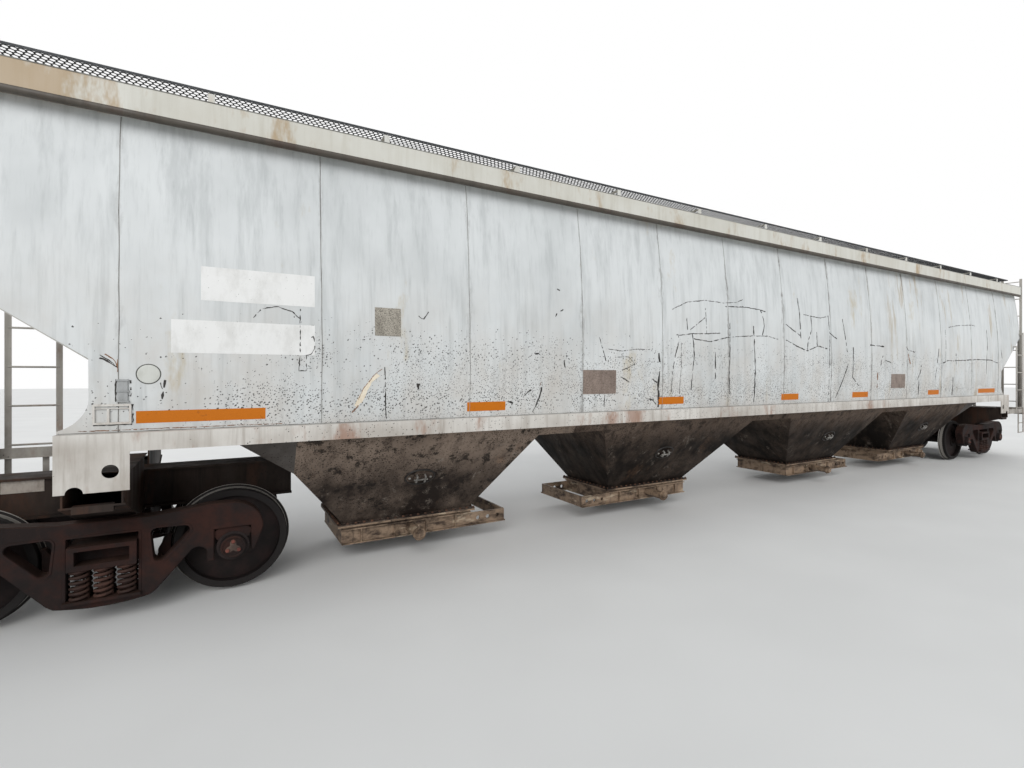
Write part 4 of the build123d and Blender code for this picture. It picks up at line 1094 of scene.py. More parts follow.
@dataclass
class CurvedSides:
    """Weld seams, tape, plates and card holders on the curved sides."""

    paints: Paints
    tuck: float = 0.0005
    seam_foot: float = RAIL + 1.545
    seam_width: float = 0.0065
    seam_rise: float = 0.0022
    tape_band: tuple[float, float] = (1.604, 1.700)
    tape_runs: tuple[tuple[float, float], ...] = (
        (-7.987, -7.108), (-5.264, -4.822), (-2.604, -2.152), (-0.052, 0.384),
        (1.930, 2.436), (4.678, 5.143), (7.023, 7.919),
    )
    white_patches: tuple[Patch, ...] = ((-7.569, -6.720, 2.593, 2.873), (-7.766, -6.720, 2.159, 2.427))
    tag: tuple[Patch, ...] = ((-6.199, -5.954, 2.360, 2.630),)
    labels: tuple[Patch, ...] = ((-3.806, -3.312, 1.759, 2.050), (3.220, 3.739, 1.755, 2.023))
    strip_run: tuple[float, float] = (-9.04, -8.76)
    strip_at: tuple[float, float] = (-0.1795, RAIL + 1.0)
    strip_half: float = 0.055
    badge_at: tuple[float, float] = (-7.908, 1.988)
    # radius, and height of the face over the sheet
    badge: tuple[float, float] = (0.072, 0.0018)
    badge_rim: tuple[float, float] = (0.080, 0.0012)
    card_frame: Patch = (-8.243, -8.013, 1.605, 1.758)
    card_bar: float = 0.015
    card_post: float = 0.085
    card_ledge: float = 0.030
    ledge_thick: float = 0.006
    card_rise: float = 0.014
    clip: Patch = (-8.098, -8.032, 1.774, 1.947)
    clip_lips: tuple[float, ...] = (1.774, 1.852, 1.935)
    lip_thick: float = 0.010
    lip_rise: float = 0.022

    def build(self) -> None:
        """Builds both sides."""
        for side in Side:
            self.seams(side)
            self.tape(side)
        self.plates("blank_patches", Coat.VINYL, self.white_patches, 0.0008)
        self.plates("blank_tag", Coat.TAG_GREY, self.tag, 0.003, 0.001)
        self.plates("blank_labels", Coat.TAG_BROWN, self.labels, 0.0015)
        self.sill_strip()
        self.disc("badge_rim", Coat.BADGE_RIM, *self.badge_rim)
        self.disc("blank_badge", Coat.BADGE, *self.badge)
        self.card_holder()

    def slab(self, shell: Shell, side: Side, patch: Patch, rise: float, bevel: float = 0.0005) -> None:
        """Adds a thin plate that follows the side: a flat ring carried up the arc on its normals.

        Args:
            shell: The shell to add to.
            side: Which side.
            patch: Its two ends and its two edges.
            rise: Height of its face over the sheet; its back is tucked into the sheet.
            bevel: Width of the cut corner.
        """
        x0, x1, low, high = patch[0], patch[1], RAIL + patch[2], RAIL + patch[3]
        heights = np.linspace(low, high, max(2, int((high - low) / 0.05) + 2))
        y, normal = ARC.face(heights, side)
        path = np.stack([np.zeros_like(heights), y, heights], axis=-1)
        shell.sweep(path, ALONG, normal, plate_ring(x0, x1, -self.tuck, rise, bevel))

    def plates(self, name: str, coat: Coat, patches: tuple[Patch, ...], rise: float,
               bevel: float = 0.0005) -> None:
        """Builds one piece of blank plates on the near side, where the photo has them.

        Args:
            name: Name of the piece.
            coat: Its finish.
            patches: Its plates.
            rise: Height of their faces over the sheet.
            bevel: Width of the cut corner.
        """
        shell = Shell()
        for patch in patches:
            self.slab(shell, Side.NEAR, patch, rise, bevel)
        shell.piece(name, self.paints[coat])

    def seams(self, side: Side) -> None:
        """Vertical weld seams: a flat bead up the arc that wanders sideways by a sum of two sines.

        Args:
            side: Which side.
        """
        shell = Shell()
        heights = np.linspace(self.seam_foot, ARC.head[1] - 0.005, 60)
        y, normal = ARC.face(heights, side)
        bead = circle_ring(self.seam_width / 2, 8, 2 * self.seam_rise / self.seam_width)
        for number, x in enumerate(SIDE_SEAMS):
            wander = 0.003 * np.sin(heights * 3.1 + number) + 0.0015 * np.sin(heights * 11 + 2 * number)
            shell.sweep(np.stack([x + wander, y, heights], axis=-1), ALONG, normal, bead)
        shell.piece(f"side_seams_{side.name.lower()}", self.paints[Coat.SEAM], slot="body_paint")

    def tape(self, side: Side) -> None:
        """Reflective tape along the foot of the side; the far side is the near one turned half round.

        Args:
            side: Which side.
        """
        shell = Shell()
        for low, high in self.tape_runs:
            run = (low, high) if side is Side.NEAR else (-high, -low)
            self.slab(shell, side, run + self.tape_band, 0.0012)
        shell.piece(f"reflective_tape_{side.name.lower()}", self.paints[Coat.TAPE])

    def sill_strip(self) -> None:
        """Blank strip on the web of the left end's draft sill: a flat ring carried along it."""
        y, z = self.strip_at
        path = np.array([(x, y, z) for x in self.strip_run])
        ring = plate_ring(-self.strip_half, self.strip_half, 0.0, 0.004, 0.001)
        Shell().sweep(path, UP, np.array([0, -1.0, 0]), ring).piece("blank_strip", self.paints[Coat.STRIP])

    def disc(self, name: str, coat: Coat, radius: float, top: float) -> None:
        """Adds a round sticker: rings of points about its centre, lifted along the side's normal.

        Args:
            name: Name of the piece.
            coat: Its finish.
            radius: Its radius.
            top: Height of its face over the sheet.
        """
        rings, count, pole = 5, 32, 0.0001
        reach = np.concatenate([np.linspace(pole, radius * 0.985, rings), [radius, radius, pole]])
        lift = np.concatenate([np.full(rings, top), [top - 0.0003, -self.tuck, -self.tuck]])
        turn = angles(count)
        x = self.badge_at[0] + reach[:, None] * np.cos(turn)
        z = RAIL + self.badge_at[1] + reach[:, None] * np.sin(turn)
        y, normal = ARC.face(z, Side.NEAR)
        points = np.stack([x, y, z], axis=-1) + lift[:, None, None] * normal
        faces = [tuple(q) for q in grid_quads(len(reach), count, False, True)[:, ::-1]]
        faces += [tuple(range(count)), tuple(range((len(reach) - 1) * count, len(reach) * count))[::-1]]
        Shell().add(points.reshape(-1, 3), faces).piece(name, self.paints[coat])

    def card_holder(self) -> None:
        """Frame with two windows for route cards, and a small holder over it."""
        (x0, x1, z0, z1), bar = self.card_frame, self.card_bar
        post, ledge = x0 + self.card_post, z1 - self.card_ledge
        frame = Shell()
        for patch in ((x0, x1, z0, z0 + bar), (x0, x1, z1 - bar, z1), (x0, x0 + bar, z0, z1),
                      (x1 - bar, x1, z0, z1), (post, post + bar, z0, ledge),
                      (x0, x1, ledge - self.ledge_thick, ledge)):
            self.slab(frame, Side.NEAR, patch, self.card_rise, 0.002)
        frame.piece("card_frame", self.paints[Coat.SILL], slot="sill_paint")
        clip = Shell()
        self.slab(clip, Side.NEAR, self.clip, self.card_rise, 0.004)
        left, right = self.clip[0] - 0.005, self.clip[1] + 0.007
        for low in self.clip_lips:
            self.slab(clip, Side.NEAR, (left, right, low, low + self.lip_thick), self.lip_rise, 0.003)
        clip.piece("card_clip", self.paints[Coat.HOLDER])


@dataclass
class PaintScars:
    """Scratches and flaked cracks that the photograph shows on the near side, and thin painted shadows
    round the card frame and its clip.
    """

    paints: Paints
    seed: int = 11
    widen: float = 1.7
    shortest_step: float = 0.010
    sunk: float = 0.0004
    proud: float = 0.0012
    dark: tuple[Scratch, ...] = (
        (7, ((-7.2, 2.47), (-7.14, 2.55), (-7.02, 2.58), (-6.9, 2.54), (-6.84, 2.48))),
        (7, ((-6.84, 2.57), (-6.84, 2.38), (-6.84, 2.18), (-6.85, 2.02))),
        (7, ((-6.85, 2.02), (-6.79, 2.02), (-6.79, 2.16), (-6.75, 2.17), (-6.72, 2.23), (-6.73, 2.33),
             (-6.75, 2.32))), (9, ((-6.11, 2.06), (-6.1, 1.9), (-6.1, 1.73), (-6.09, 1.56))),
        (7, ((-8.2, 2.13), (-8.15, 2.1), (-8.11, 2.05))), (24, ((-5.78, 1.9), (-5.78, 1.84))),
        (8, ((-5.78, 2.57), (-5.73, 2.54), (-5.68, 2.62))),
        (23, ((-2.61, 2.28), (-2.59, 2.1), (-2.62, 1.91), (-2.61, 1.72), (-2.61, 1.57))),
        (8, ((-2.36, 2.87), (-2.08, 2.99), (-1.73, 3.04), (-1.35, 3.03), (-1.07, 3.06), (-0.94, 3.11))),
        (11, ((-1.32, 2.98), (-0.94, 3), (-0.58, 2.99), (-0.43, 2.96))),
        (19, ((-0.55, 2.98), (-0.47, 2.83), (-0.48, 2.71), (-0.53, 2.6))),
        (9, ((-2.3, 2.53), (-2.21, 2.53), (-2, 2.56), (-1.73, 2.57), (-1.45, 2.59))),
        (10, ((-2.26, 2.52), (-2.25, 2.44), (-2.32, 2.25), (-2.37, 2.01), (-2.39, 1.69))),
        (6, ((-2.21, 2.41), (-2.21, 2.11), (-2.24, 1.74))),
        (14, ((-2, 2.56), (-1.97, 2.39), (-1.97, 2.23), (-2, 2.01), (-2.02, 1.79))),
        (10, ((-2.1, 2.77), (-2.09, 2.61))), (10, ((-1.73, 2.93), (-1.72, 2.57))),
        (10, ((-2.04, 2.61), (-1.75, 2.79))), (17, ((-1.55, 2.32), (-1.55, 1.89))),
        (9, ((-1.98, 2.49), (-1.65, 2.46), (-1.28, 2.54), (-0.76, 2.58), (-0.39, 2.59), (-0.15, 2.55))),
        (18, ((-0.72, 2.73), (-0.71, 2.37), (-0.69, 2.07), (-0.7, 1.59))),
        (12, ((-1.24, 2.75), (-1.25, 2.36), (-1.26, 2.07), (-1.25, 1.72))),
        (13, ((0.05, 2.8), (0.23, 2.71), (0.41, 2.64))),
        (13, ((0.05, 2.55), (0.36, 2.45), (0.6, 2.39), (0.9, 2.48), (1.15, 2.44))),
        (14, ((0.39, 3.24), (0.42, 2.98), (0.43, 2.59))), (11, ((0.52, 2.98), (0.96, 2.95), (1.21, 2.99))),
        (13, ((0.72, 2.95), (0.73, 2.74), (0.63, 2.57), (0.6, 2.41))), (13, ((0.86, 2.71), (0.87, 2.48))),
        (12, ((1.21, 3.01), (1.24, 2.66), (1.21, 2.35), (1.21, 1.54))), (14, ((1.23, 2.71), (1.48, 2.6))),
        (14, ((1.63, 2.97), (1.69, 2.68), (1.75, 2.4))), (15, ((1.78, 2.19), (1.6, 1.88), (1.42, 1.61))),
        (16, ((1.94, 2.49), (1.93, 2.18), (1.92, 1.96), (2.12, 1.81))),
        (15, ((2.93, 2.36), (2.86, 2.26), (2.85, 2.17))), (15, ((3, 2.28), (3.22, 2.23))),
        (19, ((2.49, 2.55), (2.96, 2.53))), (16, ((3.78, 2.55), (3.85, 2.49), (4.15, 2.45))),
        (15, ((5.12, 2.55), (5.07, 2.37), (5, 2.11), (4.96, 1.9))), (19, ((4.28, 1.91), (4.28, 1.61))),
        (16, ((4.37, 2.21), (4.33, 2.06), (4.21, 1.91))),
        (16, ((5.29, 2.26), (5.51, 2.31), (6.21, 2.33), (6.97, 2.36), (7.64, 2.36), (8.05, 2.3))),
        (21, ((5.9, 2.47), (5.89, 2.25))), (22, ((5.76, 1.96), (5.76, 1.74), (5.74, 1.58))),
        (17, ((7.5, 3.06), (7.5, 2.71), (7.44, 2.42), (7.42, 2.04))),
        (11, ((5.57, 3.02), (6.09, 3.09), (6.71, 3.13), (6.94, 3.12))),
        (10, ((5.44, 2.96), (5.44, 2.64), (5.4, 2.27))), (19, ((8.23, 2.67), (8.31, 2.4))),
        (19, ((-4.16, 2.98), (-4.12, 2.97))), (11, ((-4.12, 2.73), (-4.08, 2.75))),
        (9, ((-4.19, 2.66), (-4.17, 2.7))), (15, ((-4.08, 2.16), (-4.06, 2.08))),
        (13, ((-4.46, 2.23), (-4.41, 2.23))),
        (13, ((-4.37, 1.85), (-4.4, 1.74), (-4.46, 1.61), (-4.48, 1.57))),
        (14, ((-4.59, 1.76), (-4.51, 1.82))), (8, ((-3.57, 2.45), (-3.51, 2.28), (-3.47, 2.16))),
        (6, ((-3.33, 2.21), (-3.12, 2.22), (-3.01, 2.13), (-3.22, 2.05))),
        (6, ((-3.44, 2.31), (-3.22, 2.29), (-2.99, 2.32), (-2.77, 2.32))),
        (10, ((-3.24, 1.97), (-3.1, 1.9))), (13, ((-2.72, 1.94), (-2.64, 1.89))),
        (14, ((-2.82, 1.69), (-2.7, 1.66), (-2.65, 1.61))), (8, ((-3.48, 1.74), (-3.49, 1.61))),
        (16, ((-4.8, 1.7), (-4.73, 1.68))), (9, ((-8.2, 2.11), (-8.15, 2.085), (-8.1, 2.04))),
        # painted shadow: the next four lines are dark lines along the card frame's lower and right edges
        # and both sides of the clip
        (9, ((-8.006, 1.61), (-8.004, 1.68), (-8.006, 1.755))),
        (6, ((-8.24, 1.598), (-8.13, 1.598), (-8.01, 1.6))),
        (8, ((-8.105, 1.95), (-8.107, 1.86), (-8.105, 1.775))),
        (9, ((-8.02, 1.94), (-8.014, 1.86), (-8.02, 1.79))),
        (12, ((-7.8, 1.94), (-7.815, 1.89), (-7.812, 1.84), (-7.825, 1.79))),
        (7, ((-7.835, 1.92), (-7.82, 1.87))),
    )
    rusty: tuple[Scratch, ...] = (
        (27, ((2.74, 2.05), (2.74, 1.93), (2.73, 1.77))), (22, ((3.85, 2.42), (3.89, 2.32), (3.93, 2.22))),
        (19, ((-6.35, 1.7), (-6.4, 1.63))), (11, ((-4.39, 1.87), (-4.37, 1.95))),
        (5, ((-6.11, 2.06), (-6.2, 1.99), (-6.3, 1.86), (-6.35, 1.75))),
        (5, ((-8.34, 1.559), (-8.1, 1.556), (-7.85, 1.559), (-7.6, 1.557), (-7.3, 1.559), (-6.98, 1.556))),
        (7, ((-8.17, 2.14), (-8.11, 2.09), (-8.095, 2.03))), (6, ((-8.093, 2.1), (-8.095, 1.97))),
    )
    pale: tuple[Scratch, ...] = (
        (34, ((-6.17, 1.99), (-6.26, 1.88), (-6.32, 1.76), (-6.37, 1.69))),
        (24, ((-6.24, 1.9), (-6.29, 1.82), (-6.34, 1.73))),
    )

    def build(self) -> None:
        """Builds one piece for each of the three colours."""
        rng = np.random.default_rng(self.seed)
        for name, coat, table in (("dark", Coat.SCAR, self.dark), ("rusty", Coat.SCAR_RUST, self.rusty),
                                  ("pale", Coat.SCAR_PALE, self.pale)):
            shell = Shell()
            for width, points in table:
                self.flakes(shell, rng, self.widen * width / 1000, np.array(points))
            shell.piece(f"{name}_scratches", self.paints[coat], smooth=False)

    def flakes(self, shell: Shell, rng: np.random.Generator, width: float, corners: np.ndarray) -> None:
        """Adds one scratch as a row of thin flakes whose widths and gaps are drawn at random.

        The line is cut into steps of one and a half widths, at least 10 mm. Each point keeps a random share
        of the width and is moved sideways by up to a fifth of it. The line breaks where the share is under
        a quarter.

        Args:
            shell: The shell to add to.
            rng: The random numbers.
            width: Full width of the scratch.
            corners: Its points, as X and the height over the rail.
        """
        legs = np.linalg.norm(np.diff(corners, axis=0), axis=1)
        along = np.concatenate([[0], np.cumsum(legs)])
        steps = max(3, int(along[-1] / max(self.shortest_step, 1.5 * width)) + 1)
        at = np.linspace(0, along[-1], steps)
        line = np.stack([np.interp(at, along, corners[:, 0]), np.interp(at, along, corners[:, 1])], -1)
        ahead = np.gradient(line, axis=0)
        ahead /= np.linalg.norm(ahead, axis=1)[:, None]
        across = np.stack([-ahead[:, 1], ahead[:, 0]], -1)
        share = rng.uniform(0.15, 1.0, len(at))
        line = line + across * (rng.uniform(-0.2, 0.2, len(at)) * width)[:, None]
        for run in np.split(np.arange(len(at)), np.nonzero(share < 0.25)[0]):
            if len(run) < 2:
                continue
            half = (share[run] * width / 2)[:, None] * across[run]
            sides = np.stack([line[run] - half, line[run] + half], 1)
            y, normal = ARC.face(RAIL + sides[..., 1], Side.NEAR)
            flat = np.stack([sides[..., 0], y, RAIL + sides[..., 1]], -1)
            low, high = flat - self.sunk * normal, flat + self.proud * normal
            points = np.stack([low[:, 0], low[:, 1], high[:, 1], high[:, 0]], 1)
            last = (len(run) - 1) * 4
            faces = grid_quads(len(run), 4, False, True).tolist()
            faces += [(3, 2, 1, 0), (last, last + 1, last + 2, last + 3)]
            shell.add(points.reshape(-1, 3), faces)


@dataclass
class TopEdges:
    """Rolled lower edge of the eave channels, roof seams and the sill's weld lines."""

    paints: Paints
    half: float = 9.420
    foot_half: float = 8.44
    roll: tuple[float, float] = (1.432, RAIL + 4.006)
    roll_radius: float = 0.032
    eave: tuple[float, float] = (1.4572, RAIL + 4.221)
    eave_bead: float = 0.005
    foot: tuple[float, float] = (1.434, RAIL + 1.541)
    foot_bead: float = 0.006
    roof_half: float = 1.457
    roof_edge: float = RAIL + 4.224
    roof_rise: float = 0.180
    seam_pitch: float = 1.905
    seam_half: float = 1.44
    seam_width: float = 0.018
    seam_flatness: float = 0.35

    def build(self) -> None:
        """Builds both sides and the roof's seams."""
        for side in Side:
            roll, beads = Shell(), Shell()
            # the rolled edge's dark finish is dirt and painted shade under the eave
            self.rod(roll, side, self.half, self.roll, self.roll_radius, 20)
            roll.piece(f"eave_roll_{side.name.lower()}", self.paints[Coat.ROLL], slot="body_paint")
            self.rod(beads, side, self.half, self.eave, self.eave_bead, 8)
            self.rod(beads, side, self.foot_half, self.foot, self.foot_bead, 8)
            beads.piece(f"edge_beads_{side.name.lower()}", self.paints[Coat.SEAM], slot="body_paint")
        self.roof_seams()

    def rod(self, shell: Shell, side: Side, half: float, at: tuple[float, float], radius: float,
            count: int) -> None:
        """Adds a round bead along the wagon: a circle carried between two points.

        Args:
            shell: The shell to add to.
            side: Which side.
            half: Its half length.
            at: Its place across the wagon and its height.
            radius: Its radius.
            count: Points round it.
        """
        y = side.value * at[0]
        path = np.array([(-half, y, at[1]), (half, y, at[1])])
        shell.sweep(path, np.array([0, float(side.value), 0]), UP, circle_ring(radius, count))

    def roof_seams(self) -> None:
        """Seams across the roof: flat beads on an arc.

        Its height is that of its centre plus the root of radius squared less Y squared.
        """
        radius = (self.roof_half**2 + self.roof_rise**2) / (2 * self.roof_rise)
        y = np.linspace(-self.seam_half, self.seam_half, 61)
        z = self.roof_edge + self.roof_rise - radius + np.sqrt(radius**2 - y**2)
        out = np.stack([np.zeros_like(y), y / radius, np.sqrt(1 - (y / radius) ** 2)], axis=-1)
        shell, bead = Shell(), circle_ring(self.seam_width / 2, 8, self.seam_flatness)
        for x in self.seam_pitch * np.arange(-4, 5):
            shell.sweep(np.stack([np.full_like(y, x), y, z], axis=-1), ALONG, out, bead)
        shell.piece("roof_seams", self.paints[Coat.ROOF], slot="roof_paint")


@dataclass
class WalkMesh:
    """Running boards and crossovers: open-mesh panels whose cells are six-cornered, in plain rims."""

    paints: Paints
    inner: float = 0.640
    outer: float = 1.200
    half: float = 9.411
    crossover: float = 0.375
    crossover_half: float = 0.634
    rim: float = 0.006
    lap: float = 0.004
    depth: float = 0.030
    rim_depth: float = 0.020
    cell_length: float = 0.046
    row: float = 0.045
    step: float = 0.008
    low: float = RAIL + 4.405
    strand: tuple[float, float] = (0.007, 0.006)
    sink: float = 0.002
    bond: float = 0.012

    def build(self) -> None:
        """Builds both boards and both crossovers."""
        x_end, y_in, y_out = self.half - self.lap, self.inner + self.lap, self.outer - self.lap
        for side in Side:
            s, name = side.value, side.name.lower()
            shell = Shell()
            for y in (self.inner + self.rim / 2, self.outer - self.rim / 2):
                self.bar(shell, np.array([(-self.half, s * y), (self.half, s * y)]))
            for x in (-self.half + self.rim / 2, self.half - self.rim / 2):
                self.bar(shell, np.array([(x, s * y_in), (x, s * y_out)]))
            self.panel(shell, (-x_end, x_end), (s * y_in, s * y_out))
            board = shell.piece(f"walk_board_{name}", self.paints[Coat.MESH], smooth=False,
                                slot="walk_steel")
            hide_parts(f"running_board_{name}")
        shell = Shell()
        for end in End:
            self.panel(shell, (end.value * (self.half - self.crossover), end.value * x_end),
                       (-self.crossover_half, self.crossover_half))
        shell.piece("walk_mesh_ends", self.paints[Coat.MESH], smooth=False, slot="walk_steel")

    def bar(self, shell: Shell, ends: np.ndarray) -> None:
        """Adds one upright flat bar of the rim.

        Args:
            shell: The shell to add to.
            ends: X and Y of its two ends.
        """
        w, h = self.rim / 2, self.rim_depth / 2
        path = np.concatenate([ends, np.full((2, 1), self.low + self.depth - h)], axis=1)
        ahead = (path[1] - path[0]) / np.linalg.norm(path[1] - path[0])
        across = np.array([-ahead[1], ahead[0], 0.0])
        shell.sweep(path, across, UP, np.array([(-w, -h), (w, -h), (w, h), (-w, h)]))

    def panel(self, shell: Shell, x_run: tuple[float, float], y_run: tuple[float, float]) -> None:
        """Adds the mesh: zigzag strands along the board, mirrored by turns, with bonds where two come near.

        Strand j lies at row j and steps by plus and minus one step at each half cell. Where it steps up and
        the next one steps down, a bond joins them, so that six-cornered cells are left open.

        Args:
            shell: The shell to add to.
            x_run: Both ends along the wagon.
            y_run: Both edges across it.
        """
        (x0, x1), (y0, y1) = sorted(x_run), sorted(y_run)
        turns = int((x1 - x0) / (self.cell_length / 2)) + 1
        count = int(round((y1 - y0) / self.row)) - 1
        x = np.linspace(x0, x1, turns)
        y = y0 + (y1 - y0) * (np.arange(count) + 1.0) / (count + 1)
        sign = np.where((np.arange(turns)[None] + np.arange(count)[:, None]) % 2 == 0, 1.0, -1.0)
        top = self.low + self.depth - self.sink
        wide, deep = self.strand
        ring = np.array([(0, -wide / 2, -deep), (0, wide / 2, -deep), (0, wide / 2, 0), (0, -wide / 2, 0)])
        zigzag = y[:, None] + sign * self.step
        line = np.stack([np.broadcast_to(x, sign.shape), zigzag, np.full_like(sign, top)], -1)
        one = np.concatenate([grid_quads(turns, 4, False, True)[:, ::-1],
                              np.array([(0, 1, 2, 3), tuple(range((turns - 1) * 4, turns * 4))[::-1]])])
        faces = (one[None] + (np.arange(count) * turns * 4)[:, None, None]).reshape(-1, 4)
        shell.add((line[:, :, None] + ring).reshape(-1, 3), faces.tolist())
        edges = np.concatenate([[y0], y, [y1]])
        padded = np.concatenate([-sign[:1], sign, -sign[-1:]])
        j, i = np.nonzero(padded[:-1] > 0)
        w = self.bond / 2
        lower = edges[j] + np.where(j == 0, 0, self.step)
        upper = edges[j + 1] - np.where(j == count, 0, self.step)
        square = np.array([(-w, 0), (w, 0), (w, 1), (-w, 1)])
        px = x[i][:, None] + square[None, :, 0]
        py = lower[:, None] + square[None, :, 1] * (upper - lower)[:, None]
        pz = np.concatenate([np.full_like(px, top - deep), np.full_like(px, top)], 1)
        block = np.stack([np.concatenate([px, px], 1), np.concatenate([py, py], 1), pz], -1)
        box = np.array([(3, 2, 1, 0), (4, 5, 6, 7), (0, 1, 5, 4), (1, 2, 6, 5), (2, 3, 7, 6), (3, 0, 4, 7)])
        faces = (box[None] + (np.arange(len(i)) * 8)[:, None, None]).reshape(-1, 4)
        shell.add(block.reshape(-1, 3), faces.tolist())


@dataclass
class HopperFastenings:
    """Bolts round the outlet flanges, vibrator brackets on the hopper sides and clamps on the tubes."""

    paints: Paints
    mouths: tuple[tuple[float, float], ...] = (
        (-6.322, -4.884), (-2.755, -1.317), (1.317, 2.755), (4.884, 6.322),
    )
    half_y: float = 0.534
    mouth_z: float = RAIL + 0.385
    # how far a hopper's side runs out and rises from its mouth to its head
    run: float = 1.315 - 0.534
    rise: float = 1.400 - 0.385
    pad_share: float = 0.49
    pad_thick: float = 0.012
    pad_half: tuple[float, float] = (0.158, 0.108)
    pad_seat: float = 0.008
    pad_bolts: tuple[float, float] = (-0.115, 0.115)
    pad_bolt: tuple[tuple[float, float], ...] = ((0.014, 0.0), (0.014, 0.010), (0.009, 0.014))
    pad_rim: float = 0.011
    lugs: tuple[float, float] = (-0.045, 0.045)
    lug_half: float = 0.008
    lug_reach: float = 0.05
    lug_rise: float = 0.058
    lug_bevel: float = 0.012
    pin_half: float = 0.075
    pin_lift: float = 0.048
    pin_radius: float = 0.010
    flange_drop: float = 0.0116
    bolt_line: float = 0.045
    spacing: float = 0.085
    bolt: tuple[float, float] = (0.024, 0.016)
    tube_end: float = 0.905
    tube_z: float = RAIL + 0.385 - 0.0236 - 0.207 + 0.090
    # radius, and distance along the tube
    clamp: tuple[tuple[float, float], ...] = (
        (0.054, -0.018), (0.066, -0.018), (0.070, -0.010), (0.070, 0.010), (0.066, 0.018), (0.054, 0.018),
    )
    latch: tuple[float, float] = (0.03, 0.05)
    latch_lift: float = 0.062

    def build(self) -> None:
        """Builds the flange bolts, the brackets and the clamps."""
        self.flange_bolts()
        self.brackets()
        self.tube_rings()

    def flange_bolts(self) -> None:
        """Hexagon heads in four rows round every mouth."""
        bolt, faces = hex_bolt(*self.bolt)
        shell = Shell()
        top, wide = self.mouth_z - self.flange_drop, self.half_y + self.bolt_line
        for low, high in self.mouths:
            ends = (low - self.bolt_line, high + self.bolt_line)
            x, y = np.arange(*ends, self.spacing), np.arange(-wide, wide, self.spacing)
            rows = [np.stack([x, np.full_like(x, s * wide), np.full_like(x, top)], -1) for s in (-1, 1)]
            rows += [np.stack([np.full_like(y, e), y, np.full_like(y, top)], -1) for e in ends]
            shell.copies(bolt, faces, np.concatenate(rows))
        shell.piece("flange_bolts", self.paints[Coat.BOLT], smooth=False, slot="hopper_paint")

    def brackets(self) -> None:
        """Two lugs, a pin and two bolts on the oval pad of each hopper side, and the pad's greasy rim.

        The rim is a small ring carried round an ellipse in the plane of the plate.
        """
        brackets, rims = Shell(), Shell()
        lug = plate_ring(-self.lug_reach, self.lug_reach, self.pad_thick, self.lug_rise, self.lug_bevel)
        length = math.hypot(self.run, self.rise)
        turn = angles(40)
        for side in Side:
            s = side.value
            out = np.array([0, s * self.rise / length, -self.run / length])
            slope = np.array([0, s * self.run / length, self.rise / length])
            for low, high in self.mouths:
                foot = np.array([(low + high) / 2, s * (self.half_y + self.pad_share * self.run),
                                 self.mouth_z + self.pad_share * self.rise])
                centre = foot + out * self.pad_seat
                for dx in self.lugs:
                    path = centre + np.array([dx - self.lug_half, dx + self.lug_half])[:, None] * ALONG
                    brackets.sweep(path, slope, out, lug)
                path = centre + np.array([-self.pin_half, self.pin_half])[:, None] * ALONG
                brackets.sweep(path + out * self.pin_lift, slope, out, circle_ring(self.pin_radius, 10))
                head, faces = turned_shape(self.pad_bolt, 6, out)
                seats = centre + out * self.pad_thick + np.array(self.pad_bolts)[:, None] * ALONG
                brackets.copies(head, faces, seats)
                oval = foot + out * self.pad_thick + self.pad_half[0] * np.cos(turn)[:, None] * ALONG
                oval = oval + self.pad_half[1] * np.sin(turn)[:, None] * slope
                rims.rim(oval, out, circle_ring(self.pad_rim, 8))
        # the lugs, pin and bolts are pale: worn steel, and painted highlights on the bracket's edges
        brackets.piece("vibrator_brackets", self.paints[Coat.WORN], slot="hopper_paint")
        rims.piece("bracket_pad_rims", self.paints[Coat.GREASE], slot="hopper_paint")

    def tube_rings(self) -> None:
        """Clamp ring and latch near the end of each discharge tube."""
        shell = Shell()
        ring, faces = turned_shape(self.clamp, 28, np.array([0, 1.0, 0]))
        latch, latch_faces = hex_bolt(*self.latch)
        for low, high in self.mouths:
            for side in Side:
                place = np.array([[(low + high) / 2, side.value * self.tube_end, self.tube_z]])
                shell.copies(ring, faces, place)
                shell.copies(latch, latch_faces, place + self.latch_lift * UP)
        shell.piece("tube_clamps", self.paints[Coat.ALLOY], slot="outlet_alloy")


@dataclass
class LidHardware:
    """Pressed ring, grip and hold-down bolts of one hatch lid."""

    paints: Paints
    number: int
    pitch: float = 1.905
    # over the rail: roof edge, roof rise, coaming, gap and lid plate
    top: float = RAIL + 4.224 + 0.180 + 0.120 + 0.003 + 0.008
    # radius, and height over the lid plate
    rings: tuple[tuple[float, float], ...] = ((0.150, 0.0235), (0.245, 0.004))
    wire: float = 0.006
    ring_flatness: float = 0.4
    bolt: tuple[float, float] = (0.022, 0.014)
    bolt_circle: float = 0.280
    bolt_start: float = 0.26
    grip_half: float = 0.09
    grip_y: float = -0.185
    grip_foot: float = 0.004
    grip_rise: float = 0.016

    def build(self) -> None:
        """Builds what rides on the lid: two pressed rings, six bolt heads and a grip bent to an arch."""
        x = self.pitch * (self.number - 4.5)
        shell = Shell()
        turn = angles(48)
        circle = np.stack([np.cos(turn), np.sin(turn), 0 * turn], -1)
        flat = circle_ring(self.wire, 6, self.ring_flatness)
        for radius, lift in self.rings:
            shell.rim(circle * radius + np.array([x, 0, self.top + lift]), UP, flat)
        bolt, faces = hex_bolt(*self.bolt)
        turn = angles(6) + self.bolt_start
        round_x, round_y = self.bolt_circle * np.cos(turn), self.bolt_circle * np.sin(turn)
        shell.copies(bolt, faces, np.stack([x + round_x, round_y, np.full(6, self.top)], -1))
        arch = np.pi * np.linspace(0, 1, 25)
        rise = self.top + self.grip_foot + self.grip_rise * np.sin(arch)
        grip = np.stack([x + self.grip_half * np.cos(arch), np.full(25, self.grip_y), rise], -1)
        shell.sweep(grip, np.array([0, 1.0, 0]), UP, circle_ring(self.wire, 8))
        shell.piece(f"lid_hardware_{self.number}", self.paints[Coat.LID], f"hatch_lid_{self.number}",
                    slot="lid_paint")


